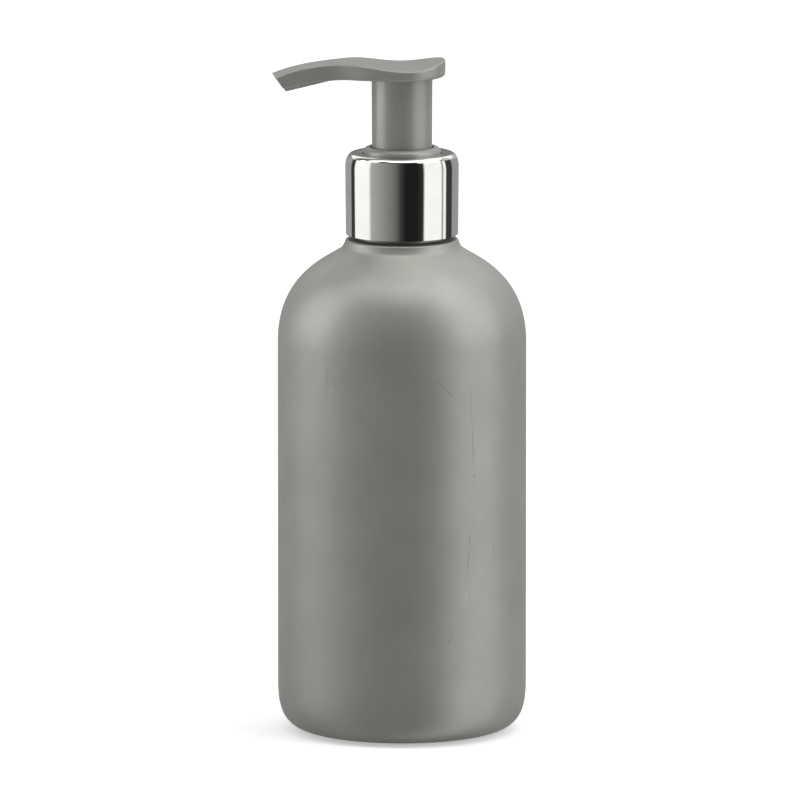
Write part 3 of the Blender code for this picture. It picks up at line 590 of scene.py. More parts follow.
# Pale lines in the paint, most of them just beside the knocks, with the same columns
PALE_LINES = (
    ((-40.7, 0.0890), (-39.9, 0.0884), 0.00040),
    ((16.9, 0.0259), (17.1, 0.0256), 0.00030),
    ((25.5, 0.0389), (25.2, 0.0350), 0.00016),
    ((4.7, 0.0711), (6.6, 0.0716), 0.00018),
)
# How far painted shade darkens the knocks, and how deep their bump dent is
CREASE_SHADE_STRENGTH = 0.36
CREASE_DEPTH = 0.3
# How strongly the pale lines lighten the paint, and the pale colour they take it towards
PALE_LINE_STRENGTH = 0.28
PALE_LINE_COLOUR = (0.75, 0.75, 0.72)


def side_place(degrees, height):
    angle, radius = math.radians(degrees), BOTTLE_TOP.x
    return (radius * math.sin(angle), -radius * math.cos(angle), height)


def line_marks(tree, place, marks):
    """One mask of several straight marks on the bottle's side."""
    whole = 0.0
    for start, end, width in marks:
        ends = {"Start": side_place(*start), "End": side_place(*end)}
        mask = placed_group(tree, "line_mark", {"Vector": place, "Width": width, **ends})
        whole = maths(tree, "MAXIMUM", whole, mask.outputs["Mask"])
    return whole


def satin_paint(colour):
    """Soft satin paint with a metallic sheen, fine spray grain, a few knocks darkened with painted
    shade, and pale lines.
    """
    material, tree, shader, place = new_material(
        "satin_paint", Metallic=0.5, Specular_IOR_Level=0.5
    )
    grain = grain_of(tree, place, 5200.0, 70.0)
    handling = handling_of(tree, place, 90.0, 160.0)
    crease_dents_and_shade = line_marks(tree, place, CREASES)
    pale_lines = line_marks(tree, place, PALE_LINES)
    tone = spread(tree, grain["Tone"], 0.35, 0.65)
    body = blended(tree, tone, shaded(colour, 0.955), shaded(colour, 1.04))
    crease_shade = maths(tree, "MULTIPLY", crease_dents_and_shade, CREASE_SHADE_STRENGTH)
    paled_by = maths(tree, "MULTIPLY", pale_lines, PALE_LINE_STRENGTH)
    # Painted shade: the knocks darken the paint towards a third of its colour
    marked = blended(tree, crease_shade, body, shaded(colour, 0.3))
    # The pale lines are mixed over the darkened knocks
    marked = blended(tree, paled_by, marked, PALE_LINE_COLOUR)
    rough = spread(tree, handling["Smudge"], 0.0, 1.0, 0.46, 0.41)
    rough = maths(tree, "ADD", rough, maths(tree, "MULTIPLY", grain["Height"], 0.03))
    fill(tree, shader, {"Base Color": marked, "Roughness": rough})
    height = maths(tree, "MULTIPLY_ADD", crease_dents_and_shade, -CREASE_DEPTH, grain["Height"])
    bumped(tree, shader, height, 0.35, 0.00002)
    return material


def bare_plastic(name, colour, roughness=0.36, glow=0.12):
    """Uncoloured moulded plastic: slightly waxy, with flow lines up its length."""
    material, tree, shader, place = new_material(
        name,
        Subsurface_Weight=glow,
        Subsurface_Radius=(0.002, 0.002, 0.0018),
        Subsurface_Scale=0.5,
        Specular_IOR_Level=0.45,
    )
    grain = grain_of(tree, place, 2600.0, 240.0, (1.0, 1.0, 0.18))
    tone = spread(tree, grain["Tone"], 0.3, 0.7)
    body = blended(tree, tone, shaded(colour, 0.93), colour)
    rough = spread(tree, tone, 0.0, 1.0, roughness - 0.04, roughness + 0.05)
    fill(tree, shader, {"Base Color": body, "Roughness": rough})
    bumped(tree, shader, grain["Height"], 0.25, 0.00002)
    return material


def moulded_grey(colour):
    """Satin grey plastic with the even fine texture of its mould."""
    material, tree, shader, place = new_material(
        "satin_moulding", Metallic=0.33, Specular_IOR_Level=0.5
    )
    grain = grain_of(tree, place, 6500.0, 150.0)
    handling = handling_of(tree, place, 160.0, 420.0)
    tone = spread(tree, grain["Tone"], 0.35, 0.65)
    body = blended(tree, tone, shaded(colour, 0.96), shaded(colour, 1.03))
    pale = maths(tree, "MULTIPLY", handling["Hairline"], 0.12)
    marked = blended(tree, pale, body, (0.6, 0.6, 0.58))
    rough = spread(tree, handling["Smudge"], 0.0, 1.0, 0.38, 0.33)
    fill(tree, shader, {"Base Color": marked, "Roughness": rough})
    bumped(tree, shader, grain["Height"], 0.3, 0.000018)
    return material


def mirror_metal(colour):
    """Polished metal cover: faint spinning lines, soft smudges and a slight waviness."""
    material, tree, shader, place = new_material("mirror_metal", Metallic=1.0)
    spun = grain_of(tree, place, 9000.0, 55.0, (0.02, 0.02, 1.0))
    handling = handling_of(tree, place, 210.0, 300.0)
    dull = blended(tree, handling["Smudge"], colour, shaded(colour, 0.96))
    rough = spread(tree, handling["Smudge"], 0.0, 1.0, 0.035, 0.075)
    rough = maths(tree, "ADD", rough, maths(tree, "MULTIPLY", handling["Hairline"], 0.06))
    fill(tree, shader, {"Base Color": dull, "Roughness": rough})
    wave = noise_of(tree, Vector=place, Scale=85.0, Detail=1.0)
    swell = bumped(tree, shader, wave, 0.25, 0.0001)
    bumped(tree, shader, spun["Height"], 0.05, 0.000002, Normal=swell)
    return material


def drawn_steel(colour):
    """Bright spring steel with fine lines along the wire."""
    material, tree, shader, place = new_material("drawn_steel", Metallic=1.0)
    grain = grain_of(tree, place, 7000.0, 500.0, (0.2, 0.2, 1.0))
    tone = spread(tree, grain["Tone"], 0.3, 0.7)
    body = blended(tree, tone, shaded(colour, 0.8), colour)
    rough = spread(tree, tone, 0.0, 1.0, 0.18, 0.34)
    fill(tree, shader, {"Base Color": body, "Roughness": rough})
    bumped(tree, shader, grain["Height"], 0.2, 0.00001)
    return material


def liner_foam():
    """Closed-cell foam sheet with a skin of small shallow cells."""
    material, tree, shader, place = new_material("closed_cell_foam", Specular_IOR_Level=0.3)
    cells = node(tree, "ShaderNodeTexVoronoi", {"Vector": place, "Scale": 3800.0})
    tone = spread(tree, cells.outputs["Distance"], 0.0, 0.7)
    body = blended(tree, tone, (0.74, 0.74, 0.72), (0.86, 0.86, 0.84))
    rough = spread(tree, tone, 0.0, 1.0, 0.75, 0.9)
    fill(tree, shader, {"Base Color": body, "Roughness": rough})
    bumped(tree, shader, cells.outputs["Distance"], 0.5, 0.00004)
    return material


def material_once(name, maker):
    return bpy.data.materials.get(name) or maker()


def paint_of(scene):
    return material_once("satin_paint", lambda: satin_paint(scene.bottle_settings.paint))


def grey_of(scene):
    return material_once("satin_moulding", lambda: moulded_grey(scene.head_settings.plastic))


def natural_of(scene):
    colour = scene.works_settings.natural
    return material_once("milky_moulding", lambda: bare_plastic("milky_moulding", colour))


# Bottle


def base_corner(s, radius, inset, lift, count):
    foot = radius - s.corner_width
    shrink = (s.corner_width - inset) / s.corner_width
    corners = (
        (foot, lift),
        (foot + s.corner_lead * shrink, lift),
        (radius - inset, s.corner_height - s.corner_lift * shrink),
        (radius - inset, s.corner_height),
    )
    return bezier(corners, count)


def base_dome(s, radius, lift, count):
    ring = radius - s.corner_width - s.foot_ring
    slow_start, start_rise, flat_middle = 0.8, 0.12, 0.6
    corners = (
        (ring, lift),
        (ring * slow_start, lift + s.push_up * start_rise),
        (ring * flat_middle, lift + s.push_up),
        (0, lift + s.push_up),
    )
    return bezier(corners, count)


def shoulder_curve(s, radius, bead_top, inset, count):
    slope, draft = math.radians(49), 0.0003
    top = bead_top - s.bead_height - draft
    low = top - s.shoulder_height
    end = s.bead_radius + draft
    side = inset * math.sin(slope)
    down = inset * math.cos(slope)
    lead = (end + s.shoulder_lead * math.cos(slope), top - s.shoulder_lead * math.sin(slope))
    corners = (
        (radius - inset, low),
        (radius - inset, low + s.shoulder_lift),
        (lead[0] - side, lead[1] - down),
        (end - side, top - down),
    )
    return bezier(corners, count)


def bottle_profile(s):
    """From the middle of the floor up the inside, over the mouth and down the outside."""
    radius, height = BOTTLE_TOP.x, BOTTLE_TOP.z
    bead_top = height - s.neck_height
    lip, root, bead_round, bead_draft = 0.0004, 0.0004, 0.0007, 0.0003
    flare, flare_slope = 0.0028, 0.855
    inside = base_dome(s, radius, s.floor, 8)[::-1]
    inside += base_corner(s, radius, s.wall, s.floor, 12)
    inside += shoulder_curve(s, radius, bead_top, s.wall, 22)
    x, z = inside[-1]
    lead = (x - flare * math.cos(flare_slope), z + flare * math.sin(flare_slope))
    throat = (s.neck_bore, bead_top - flare / 2)
    inside += bezier(((x, z), lead, throat, (s.neck_bore, bead_top + flare / 2)), 8)
    inside += rounded(s.neck_bore, height, lip, 180, 90, 4)
    outside = rounded(s.neck_radius, height, lip, 90, 0, 4)
    outside += rounded(s.neck_radius, bead_top, root, 180, 270, 4)
    outside += rounded(s.bead_radius - bead_draft, bead_top, bead_round, 90, 0, 8)
    down = shoulder_curve(s, radius, bead_top, 0, 40)[::-1]
    bead_side = (s.bead_radius - 0.00012, bead_top - s.bead_height + 0.0006)
    bead_foot = (down[0][0] - 0.0002, down[0][1] + 0.0003)
    outside += bezier((outside[-1], bead_side, bead_foot, down[1]), 6)
    outside += down[2:]
    outside += base_corner(s, radius, 0, 0, 24)[::-1]
    outside += base_dome(s, radius, 0, 10)
    return inside + outside


class PUMP_OT_bottle(bpy.types.Operator):
    """Bottle with its soft shoulder, neck bead, thread and pushed-up base"""

    bl_idname = "pump.make_bottle"
    bl_label = "Bottle"

    def execute(self, context):
        s = context.scene.bottle_settings
        piece = lathe("blown_bottle", bottle_profile(s), s.steps, closed=False)
        turns, bite, tall, flat = 1.5, 0.0003, 0.0012, 0.00055
        section = (s.neck_radius - bite, s.thread_radius, tall, flat)
        low = BOTTLE_TOP.z - THREAD_DROP - turns * s.thread_pitch
        fade = (s.neck_radius - 0.0001) / s.thread_radius
        ridge = helical_ridge("neck_thread", section, low, turns, s.thread_pitch, fade)
        combine(piece, ridge, "UNION")
        bare = bare_plastic("bottle_lining", s.inside)
        give(piece, "bottle_body", "painted_grey", [paint_of(context.scene), bare], "bottle")
        self.line_inside(piece, s)
        return {"FINISHED"}

    def line_inside(self, piece, s):
        """Gives the faces of the inner wall and floor the bare plastic."""
        limit = BOTTLE_TOP.x - s.wall * 0.6
        for face in piece.data.polygons:
            middle = face.center
            inward = face.normal.xy.dot(middle.xy) < 0 and middle.z > s.floor
            low = middle.z < s.corner_height and middle.xy.length < limit
            face.material_index = int(inward or (low and face.normal.z > 0.5))


# Collar


class PUMP_OT_collar(bpy.types.Operator):
    """Threaded cap and the bright metal cover pressed over it"""

    bl_idname = "pump.make_collar"
    bl_label = "Collar"

    def execute(self, context):
        s = context.scene.collar_settings
        radius, top, foot = SHELL_HIGH.x, SHELL_HIGH.z, SHELL_LOW.z
        corner = (radius - s.corner_width, top - s.corner_height)
        e = s.edge_round
        inner = (s.corner_width - s.shell_wall, s.corner_height - s.shell_wall)
        outline = rounded(s.hole, top, e, 180, 90, 4)
        outline += arc(corner, s.corner_width, s.corner_height, 90, 0, 24)
        outline += rounded(s.foot_radius, foot, e, 0, -90, 4)
        outline += rounded(s.foot_radius - s.shell_wall, foot, e, -90, -180, 4)
        outline += arc(corner, *inner, 0, 90, 16)
        outline += rounded(s.hole, top - s.shell_wall, e, 270, 180, 4)
        shell = lathe("collar_cover", outline, 192)
        crease = corner[1] + s.corner_height * math.sin(s.crease)
        self.straighten(shell, crease, (radius - s.foot_radius) / (corner[1] - foot))
        metal = material_once("mirror_metal", lambda: mirror_metal(s.metal))
        give(shell, "collar_body", "bright_metal", [metal], "collar_shell")
        self.make_cap(context, s)
        return {"FINISHED"}

    def straighten(self, shell, crease, slope):
        """Shades the cover as one straight wall up to the crease in its shoulder."""
        mesh = shell.data
        normals = [(0, 0, 0)] * len(mesh.loops)
        for face in mesh.polygons:
            out = face.center.xy.normalized().dot(face.normal.xy)
            if out > 0.5 and face.center.z < crease:
                for loop in face.loop_indices:
                    place = mesh.vertices[mesh.loops[loop].vertex_index].co.xy.normalized()
                    normals[loop] = (place.x, place.y, -slope)
        mesh.normals_split_custom_set(normals)

    def make_cap(self, context, s):
        radius, top, foot = CLOSURE_HIGH.x, CLOSURE_HIGH.z, CLOSURE_LOW.z
        corner = (radius - s.corner_width, top - s.corner_height)
        deck, e = top - s.deck, 0.0003
        outline = [(s.hole, top)]
        outline += arc(corner, s.corner_width, s.corner_height, 90, 0, 10)
        outline += rounded(radius, foot, e, 0, -90, 3)
        outline += rounded(s.bore, foot, e, -90, -180, 3)
        outline += rounded(s.bore, deck, e, 0, 90, 3)
        outline.append((s.hole, deck))
        cap = lathe("threaded_cap", outline, 160)
        b = context.scene.bottle_settings
        turns, start, bite, tall, flat = 1.05, 2.0, 0.0001, -0.0011, -0.0005
        crest = b.neck_radius + 0.0003
        section = (s.bore + bite, crest, tall, flat)
        low = BOTTLE_TOP.z - THREAD_DROP - start * b.thread_pitch
        fade = (s.bore - 0.0003) / crest
        ridge = helical_ridge("cap_thread", section, low, turns, b.thread_pitch, fade)
        combine(cap, ridge, "UNION")
        give(cap, "collar_body", "moulded_grey", [grey_of(context.scene)], "closure")


# Chaplet


class PUMP_OT_chaplet(bpy.types.Operator):
    """Guide ring round the skirt, with its sleeve, web and stem guide"""

    bl_idname = "pump.make_chaplet"
    bl_label = "Chaplet"

    def execute(self, context):
        flange, top, foot = CHAPLET_HIGH.x, CHAPLET_HIGH.z, CHAPLET_LOW.z
        bore, sleeve, ring, flange_thickness, gap = 0.00775, 0.0082, 0.0096, 0.0008, 0.00025
        deck = context.scene.collar_settings.deck
        flange_low = CLOSURE_HIGH.z - deck - gap - flange_thickness
        flange_top = flange_low + flange_thickness
        guide_bore, guide_radius, guide_length = 0.00375, 0.0046, 0.006
        web = foot + 0.0012
        guide_top = web + guide_length
        crown, lip, e = 0.0014, 0.00025, 0.00015
        outline = rounded(bore, top, lip, 180, 90, 5)
        outline += rounded(ring, top, crown, 90, 0, 14)
        outline += rounded(ring, flange_top, e, 180, 270, 3)
        outline += rounded(flange, flange_top, e, 90, 0, 3)
        outline += rounded(flange, flange_low, e, 0, -90, 3)
        outline += [(sleeve, flange_low), (sleeve, foot)]
        outline += rounded(guide_bore, foot, lip, -90, -180, 4)
        outline += rounded(guide_bore, guide_top, lip, 180, 90, 4)
        outline += [(guide_radius, guide_top), (guide_radius, web), (bore, web)]
        piece = lathe("guide_ring", outline, 160)
        give(piece, "pump_body", "moulded_grey", [grey_of(context.scene)], "chaplet")
        return {"FINISHED"}


# Head

# The flat blank that is bent into the head, and its spare length, which trim_tip cuts off
PUCK_HEIGHT = 0.003
TIP_SPARE = 0.0025


def joined_curve(start, end, start_slope, end_slope, at):
    """Height on the cubic that leaves start and meets end at given slopes."""
    span = end[0] - start[0]
    t = min(max((at - start[0]) / span, 0), 1)
    over = at - start[0] - span * t
    rise = (3 - 2 * t) * t * t
    out = t * (1 - t) ** 2 * span * start_slope
    back = t * t * (t - 1) * span * end_slope
    slope = end_slope if t > 0 else start_slope
    return start[1] * (1 - rise) + end[1] * rise + out + back + over * slope


def top_line(s, reach):
    """Height of the head's top at a distance from the axis towards the spout."""
    dip = (-s.dip_setback, s.underside + s.dip_thickness)
    rear = (-s.pad_radius, dip[1] + s.rear_rise)
    crest = (s.crest_reach, dip[1] + s.crest_rise)
    tip = (s.tip_reach, dip[1] - s.tip_drop)
    rear_slope, tip_slope = -0.3, -0.41
    if reach < dip[0]:
        return joined_curve(dip, rear, 0, rear_slope, reach)
    if reach < crest[0]:
        return joined_curve(dip, crest, 0, 0, reach)
    return joined_curve(crest, tip, 0, tip_slope, reach)


def under_line(s, reach):
    past = max(reach - s.under_flat, 0)
    return s.underside - s.under_arc + math.sqrt(s.under_arc**2 - past**2)


def half_plan(s):
    """One side of the head from above: (x, half width), the spout running to -X."""
    corners = (
        (0, s.pad_radius),
        (s.pad_flow, s.pad_radius),
        (s.neck_reach - s.spout_flow, s.neck_half),
        (s.neck_reach, s.neck_half),
    )
    points = arc((0, 0), s.pad_radius, s.pad_radius, 0, 90, 40)
    points += [(-reach, half) for reach, half in bezier(corners, 40)[1:]]
    run, count = s.tip_reach + TIP_SPARE - s.neck_reach, 12
    for i in range(1, count + 1):
        reach = s.neck_reach + run * i / count
        rise = (reach - s.neck_reach) / (s.tip_reach - s.neck_reach)
        half = s.neck_half + (s.tip_half - s.neck_half) * rise * rise
        points.append((-reach, half))
    return points


def rounded_steps(radius, count):
    """Steps in and up that turn a sharp rim into a rounded one."""
    angles = [math.pi / 2 * i / count for i in range(count + 1)]
    steps = []
    for low, high in zip(angles, angles[1:]):
        inwards = radius * (math.cos(low) - math.cos(high))
        upwards = radius * (math.sin(high) - math.sin(low))
        steps.append((inwards, upwards))
    return steps


def head_puck(s):
    """Pad and spout with a flat top and underside, their edges already rounded."""
    half = half_plan(s)
    outline = half + [(x, -y) for x, y in half[::-1] if y > WELD]
    piece = drawn_line("head_blank", outline, True)
    mesh = bmesh.from_edit_mesh(piece.data)
    for vertex in mesh.verts:
        vertex.co = (vertex.co.x, vertex.co.z, 0)
    bmesh.update_edit_mesh(piece.data)
    bpy.ops.mesh.select_all(action="SELECT")
    bpy.ops.mesh.edge_face_add()
    middle = (s.low_round + PUCK_HEIGHT - s.top_round) / 2
    bpy.ops.transform.translate(value=(0, 0, middle))
    for way, radius, level in ((1, s.top_round, PUCK_HEIGHT), (-1, s.low_round, 0.0)):
        lift = {"value": (0, 0, way * (abs(level - middle) - radius))}
        if way < 0:
            select_where(piece, "faces", lambda f: abs(f.calc_center_median().z - middle) < WELD)
        bpy.ops.mesh.extrude_region_move(TRANSFORM_OT_translate=lift)
        for inwards, upwards in rounded_steps(radius, 7):
            bpy.ops.mesh.inset(thickness=inwards, depth=0, use_boundary=True, use_even_offset=True)
            bpy.ops.transform.translate(value=(0, 0, way * upwards))
        cut_in_strips(piece, level)
    return piece


def cut_in_strips(piece, level):
    """Cuts one flat face from side to side at each of its corners."""

    def is_flat(face):
        return abs(face.normal.z) > 0.99 and abs(face.calc_center_median().z - level) < WELD

    mesh = bmesh.from_edit_mesh(piece.data)
    whole = max(filter(is_flat, mesh.faces), key=lambda face: face.calc_area())
    places = sorted({round(v.co.x, 7) for v in whole.verts if v.co.y > 0})
    for x in places:
        select_where(piece, "faces", is_flat)
        bpy.ops.mesh.bisect(plane_co=(x, 0, level), plane_no=(1, 0, 0), threshold=WELD)


def bend_head(piece, s):
    """Bends the flat blank to the saddle of the pad and the arch of the spout."""
    tip_margin, rear_margin = 0.003, 0.0005
    low, high = -s.tip_reach - tip_margin, s.pad_radius + rear_margin
    count, levels = 64, 4
    step, rise = (high - low) / (count - 1), PUCK_HEIGHT / (levels - 1)
    object_mode()
    lattice = bpy.data.lattices.new("head_bend")
    lattice.points_u, lattice.points_v, lattice.points_w = count, 2, levels
    lattice.interpolation_type_u = "KEY_CATMULL_ROM"
    lattice.interpolation_type_v = lattice.interpolation_type_w = "KEY_LINEAR"
    cage = bpy.data.objects.new("head_bend", lattice)
    bpy.context.scene.collection.objects.link(cage)
    cage.scale = (step, 4 * s.pad_radius, rise)
    cage.location = ((low + high) / 2, 0, PUCK_HEIGHT / 2)
    for i, point in enumerate(lattice.points):
        column, level = i % count, i // (count * 2)
        reach = -(low + step * column)
        flat = rise * level
        if level < levels / 2:
            target = under_line(s, reach) + flat
        else:
            target = top_line(s, reach) - (PUCK_HEIGHT - flat)
        point.co_deform.z = (target - PUCK_HEIGHT / 2) / rise
    bend = piece.modifiers.new("bend", "LATTICE")
    bend.object = cage
    apply_all(piece)
    bpy.data.objects.remove(cage, do_unlink=True)
    bpy.data.lattices.remove(lattice)


def trim_tip(piece, s):
    """Cuts the slanted end face, fills it and softens its rim."""
    tip = Vector((-s.tip_reach, 0, top_line(s, s.tip_reach)))
    back = s.tip_reach - s.tip_undercut
    heel = Vector((-back, 0, under_line(s, back)))
    slant = heel - tip
    outward = Vector((slant.z, 0, -slant.x)).normalized()

    def in_cut(edge):
        return all(abs((v.co - tip).dot(outward)) < WELD for v in edge.verts)

    edit_all(piece)
    bpy.ops.mesh.bisect(plane_co=tip, plane_no=outward, use_fill=True, clear_outer=True)
    select_where(piece, "edges", in_cut)
    bpy.ops.mesh.bevel(offset=s.tip_round, segments=4, profile=0.5, affect="EDGES")
    tidy_faces(piece)
    return tip, heel


def hub(s):
    """Skirt and stem socket under the pad."""
    foot, under = HEAD_LOW.z, s.underside
    draft, e, gap, overlap = 0.0001, 0.0002, 0.00025, 0.0009
    mouth = s.skirt_radius - draft
    inner = s.skirt_radius - s.skirt_wall
    socket = s.socket_bore + s.socket_wall
    socket_foot = under - s.socket_length
    roof, ceiling = STEM_HIGH.z + gap, under - 0.0002
    # The rings just below the pad keep the skirt's shading smooth where the two join
    outline = [(0, under + overlap), (s.skirt_radius, under + overlap)]
    outline += [(s.skirt_radius, under - drop) for drop in (0.0003, 0.0006, 0.0015)]
    outline += rounded(mouth, foot, e, 0, -90, 4)
    outline += rounded(mouth - s.skirt_wall, foot, e, -90, -180, 4)
    outline += [(inner, ceiling), (socket, ceiling)]
    outline += rounded(socket, socket_foot, e, 0, -90, 3)
    outline += rounded(s.socket_bore, socket_foot, e, -90, -180, 3)
    outline += [(s.socket_bore, roof), (0, roof)]
    return lathe("skirt", outline, 144, closed=False)


def outlet_drill(s, tip, heel):
    """A countersunk rod that bores the outlet into the slanted face."""
    inwards = Vector((1, 0, 0.28)).normalized()
    r, wide = s.outlet_radius, s.outlet_radius * 1.35
    out, sunk, deep = 0.003, 0.0004, 0.009
    outline = [(0, out), (wide, out), (wide, 0.0), (r, -sunk), (r, -deep), (0, -deep)]
    drill = lathe("outlet_drill", outline, 48, closed=False)
    drill.matrix_world = (-inwards).to_track_quat("Z", "Y").to_matrix().to_4x4()
    drill.location = (tip + heel) / 2 + inwards * sunk
    activate(drill)
    bpy.ops.object.transform_apply(location=True, rotation=True, scale=True)
    return drill


class PUMP_OT_head(bpy.types.Operator):
    """Pressed head: dished thumb pad, arched spout, skirt and stem socket"""

    bl_idname = "pump.make_head"
    bl_label = "Head"

    def execute(self, context):
        s = context.scene.head_settings
        piece = head_puck(s)
        bend_head(piece, s)
        tip, heel = trim_tip(piece, s)
        combine(piece, hub(s), "UNION")
        combine(piece, outlet_drill(s, tip, heel), "DIFFERENCE")
        even_normals(piece)
        piece.name = piece.data.name = "pump_head"
        give(piece, "head_body", "moulded_grey", [grey_of(context.scene)], "actuator")
        return {"FINISHED"}


# Pump works


def spring_route(s):
    """Centre line of the wire: closed end turns and open turns between them."""
    low, high = SPRING_LOW.z + s.wire / 2, SPRING_HIGH.z - s.wire / 2
    radius = SPRING_HIGH.x - s.wire / 2
    gap, per_turn = 0.0005, 40
    end_pitch = s.wire + gap
    open_turns = s.spring_turns - 2
    open_pitch = (high - low - 2 * end_pitch) / open_turns
    points = []
    for i in range(s.spring_turns * per_turn + 1):
        turn = i / per_turn
        z = low + end_pitch * min(turn, 1) + open_pitch * min(max(turn - 1, 0), open_turns)
        z += end_pitch * max(turn - 1 - open_turns, 0)
        points.append((radius * math.cos(TURN * turn), radius * math.sin(TURN * turn), z))
    return points


class PUMP_OT_works(bpy.types.Operator):
    """Pump cylinder, dip tube, spring and valve pieces"""

    bl_idname = "pump.make_works"
    bl_label = "Pump works"

    def execute(self, context):
        scene = context.scene
        s = scene.works_settings
        self.make_spring(scene, s)
        self.make_housing(scene)
        self.make_tube(scene)
        self.finish_valves(scene, s)
        return {"FINISHED"}

    def make_spring(self, scene, s):
        deselect()
        curve = bpy.data.curves.new("return_spring", "CURVE")
        curve.dimensions = "3D"
        curve.bevel_depth = s.wire / 2
        curve.bevel_resolution = 4
        curve.use_fill_caps = True
        spline = curve.splines.new("POLY")
        route = spring_route(s)
        spline.points.add(len(route) - 1)
        for corner, place in zip(spline.points, route):
            corner.co = (*place, 1)
        wire = bpy.data.objects.new("return_spring", curve)
        scene.collection.objects.link(wire)
        activate(wire)
        bpy.ops.object.convert(target="MESH")
        wire = bpy.context.object
        bpy.ops.object.mode_set(mode="EDIT")
        tidy_faces(wire)
        steel = material_once("drawn_steel", lambda: drawn_steel(s.steel))
        give(wire, "pump_body", "spring_steel", [steel], "spring")
        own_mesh(wire)

    def make_housing(self, scene):
        top, foot, flange = HOUSING_HIGH.z, HOUSING_LOW.z, HOUSING_HIGH.x
        head_bore, head_radius, bore, radius = 0.0084, 0.009, 0.0064, 0.0073
        cage_bore, cage_radius, socket_bore, socket_radius = 0.0026, 0.0035, 0.0034, 0.0043
        lip, inlet, e, gap, chamfer = 0.0017, 0.0012, 0.0002, 0.00025, 0.0003
        flange_low = top - 0.0009
        step, taper_length, base_round = CHAPLET_LOW.z - gap, 0.0017, 0.0009
        taper = step - 0.0006
        floor = SPRING_LOW.z - 0.0002
        cage_top, cage_slope = floor - 0.0008, 0.0005
        tube_top = TUBE_HIGH.z
        collar = tube_top + 0.0008
        seat_foot = tube_top + 0.00085
        seat_top = seat_foot + cage_bore - inlet
        outline = [(head_bore, top - e), (head_bore + e, top)]
        outline += rounded(flange, top, e, 90, 0, 3)
        outline += rounded(flange, flange_low, e, 0, -90, 3)
        outline += [(head_radius, flange_low), (head_radius, taper)]
        outline.append((radius, taper - taper_length))
        outline += arc((radius - base_round, floor), base_round, base_round, 0, -90, 6)
        outline += [(cage_radius, floor - base_round), (cage_radius, collar)]
        outline += [(socket_radius, tube_top), (socket_radius, foot)]
        outline += [(socket_bore + chamfer, foot), (socket_bore, foot + chamfer)]
        outline += [(socket_bore, tube_top + gap), (inlet, tube_top + gap)]
        outline += [(inlet, seat_foot), (cage_bore, seat_top), (cage_bore, cage_top - cage_slope)]
        outline += [(lip, cage_top), (lip, floor), (bore, floor), (bore, step), (head_bore, step)]
        housing = lathe("pump_cylinder", outline, 96)
        combine(housing, self.vent_drill(), "DIFFERENCE")
        give(housing, "pump_body", "natural_plastic", [natural_of(scene)], "housing")

    def vent_drill(self):
        deselect()
        bpy.ops.mesh.primitive_cylinder_add(
            vertices=24,
            radius=0.0007,
            depth=0.012,
            location=(0, 0.006, STEM_LOW.z),
            rotation=(math.pi / 2, 0, 0),
        )
        bpy.ops.object.transform_apply(location=True, rotation=True, scale=True)
        return bpy.context.object

    def make_tube(self, scene):
        radius, top, foot = TUBE_HIGH.x, TUBE_HIGH.z, TUBE_LOW.z
        wall, e, slant, spare = 0.0009, 0.00015, 0.0035, 0.001
        inner = radius - wall
        outline = [(inner, top - e), (inner + e, top), (radius - e, top), (radius, top - e)]
        outline += [(radius, foot - spare), (inner, foot - spare)]
        tube = lathe("dip_tube_run", outline, 64)
        slope = math.atan2(slant, 2 * radius)
        down = Vector((-math.sin(slope), 0, -math.cos(slope)))
        middle = (0, 0, foot + slant / 2)
        edit_all(tube)
        bpy.ops.mesh.bisect(plane_co=middle, plane_no=down, clear_outer=True)
        select_where(tube, "edges", lambda edge: edge.is_boundary)
        bpy.ops.mesh.bridge_edge_loops()
        tidy_faces(tube)
        clear = bare_plastic("clear_tube", (0.84, 0.85, 0.84), roughness=0.24, glow=0.3)
        give(tube, "pump_body", "tube_plastic", [clear], "dip_tube")

    def finish_valves(self, scene, s):
        natural = natural_of(scene)
        soft = bare_plastic("soft_valve", (0.7, 0.72, 0.71), roughness=0.45)
        steel = material_once("drawn_steel", lambda: drawn_steel(s.steel))
        finishes = {
            "stem": natural,
            "piston_plug": natural,
            "piston": soft,
            "inlet_ball": steel,
            "neck_gasket": liner_foam(),
        }
        for name, material in finishes.items():
            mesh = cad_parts[name].data
            mesh.materials.clear()
            mesh.materials.append(material)


# Stage

# Light round the bottle as (degrees to the right of the camera, level)
NEAR_TABLE = (
    (-180, 0.33), (-128, 0.33), (-125, 0.04), (-114, 0.04), (-111, 0.4), (-72, 0.4),
    (-66, 0.3), (-14, 0.1), (-2, 0.04), (44, 0.05), (48, 1.1), (100, 1.1),
    (103, 0.04), (117, 0.04), (128, 0.3), (180, 0.33),
)
TABLE_GLOW = (
    (-180, 0.33), (-128, 0.33), (-125, 0.04), (-114, 0.04), (-111, 1.0), (-72, 1.0),
    (-66, 0.4), (-14, 0.145), (-2, 0.04), (8, 0.012), (30, 0.012), (44, 0.03),
    (48, 1.0), (88, 1.0), (90.5, 0.28), (92.5, 0.28), (95, 1.0), (100, 1.0),
    (103, 0.04), (122, 0.04), (125, 0.3), (180, 0.33),
)
SOFTBOXES = (
    (-180, 0.2), (-146, 0.3), (-127, 0.45), (-124, 0.05), (-114, 0.05), (-111, 0.4),
    (-66, 0.4), (-14, 0.12), (-8, 0.01), (43, 0.01), (48, 2.05), (100, 2.05),
    (104, 0.3), (120, 0.5), (150, 0.6), (180, 0.2),
)
CANOPY = (
    (-180, 0.3), (-150, 0.15), (-116, 0.1), (-111, 1.4), (-72, 1.4), (-64, 0.06),
    (43, 0.06), (48, 2.1), (100, 2.1), (106, 1.5), (150, 1.3), (166, 0.4), (180, 0.3),
)
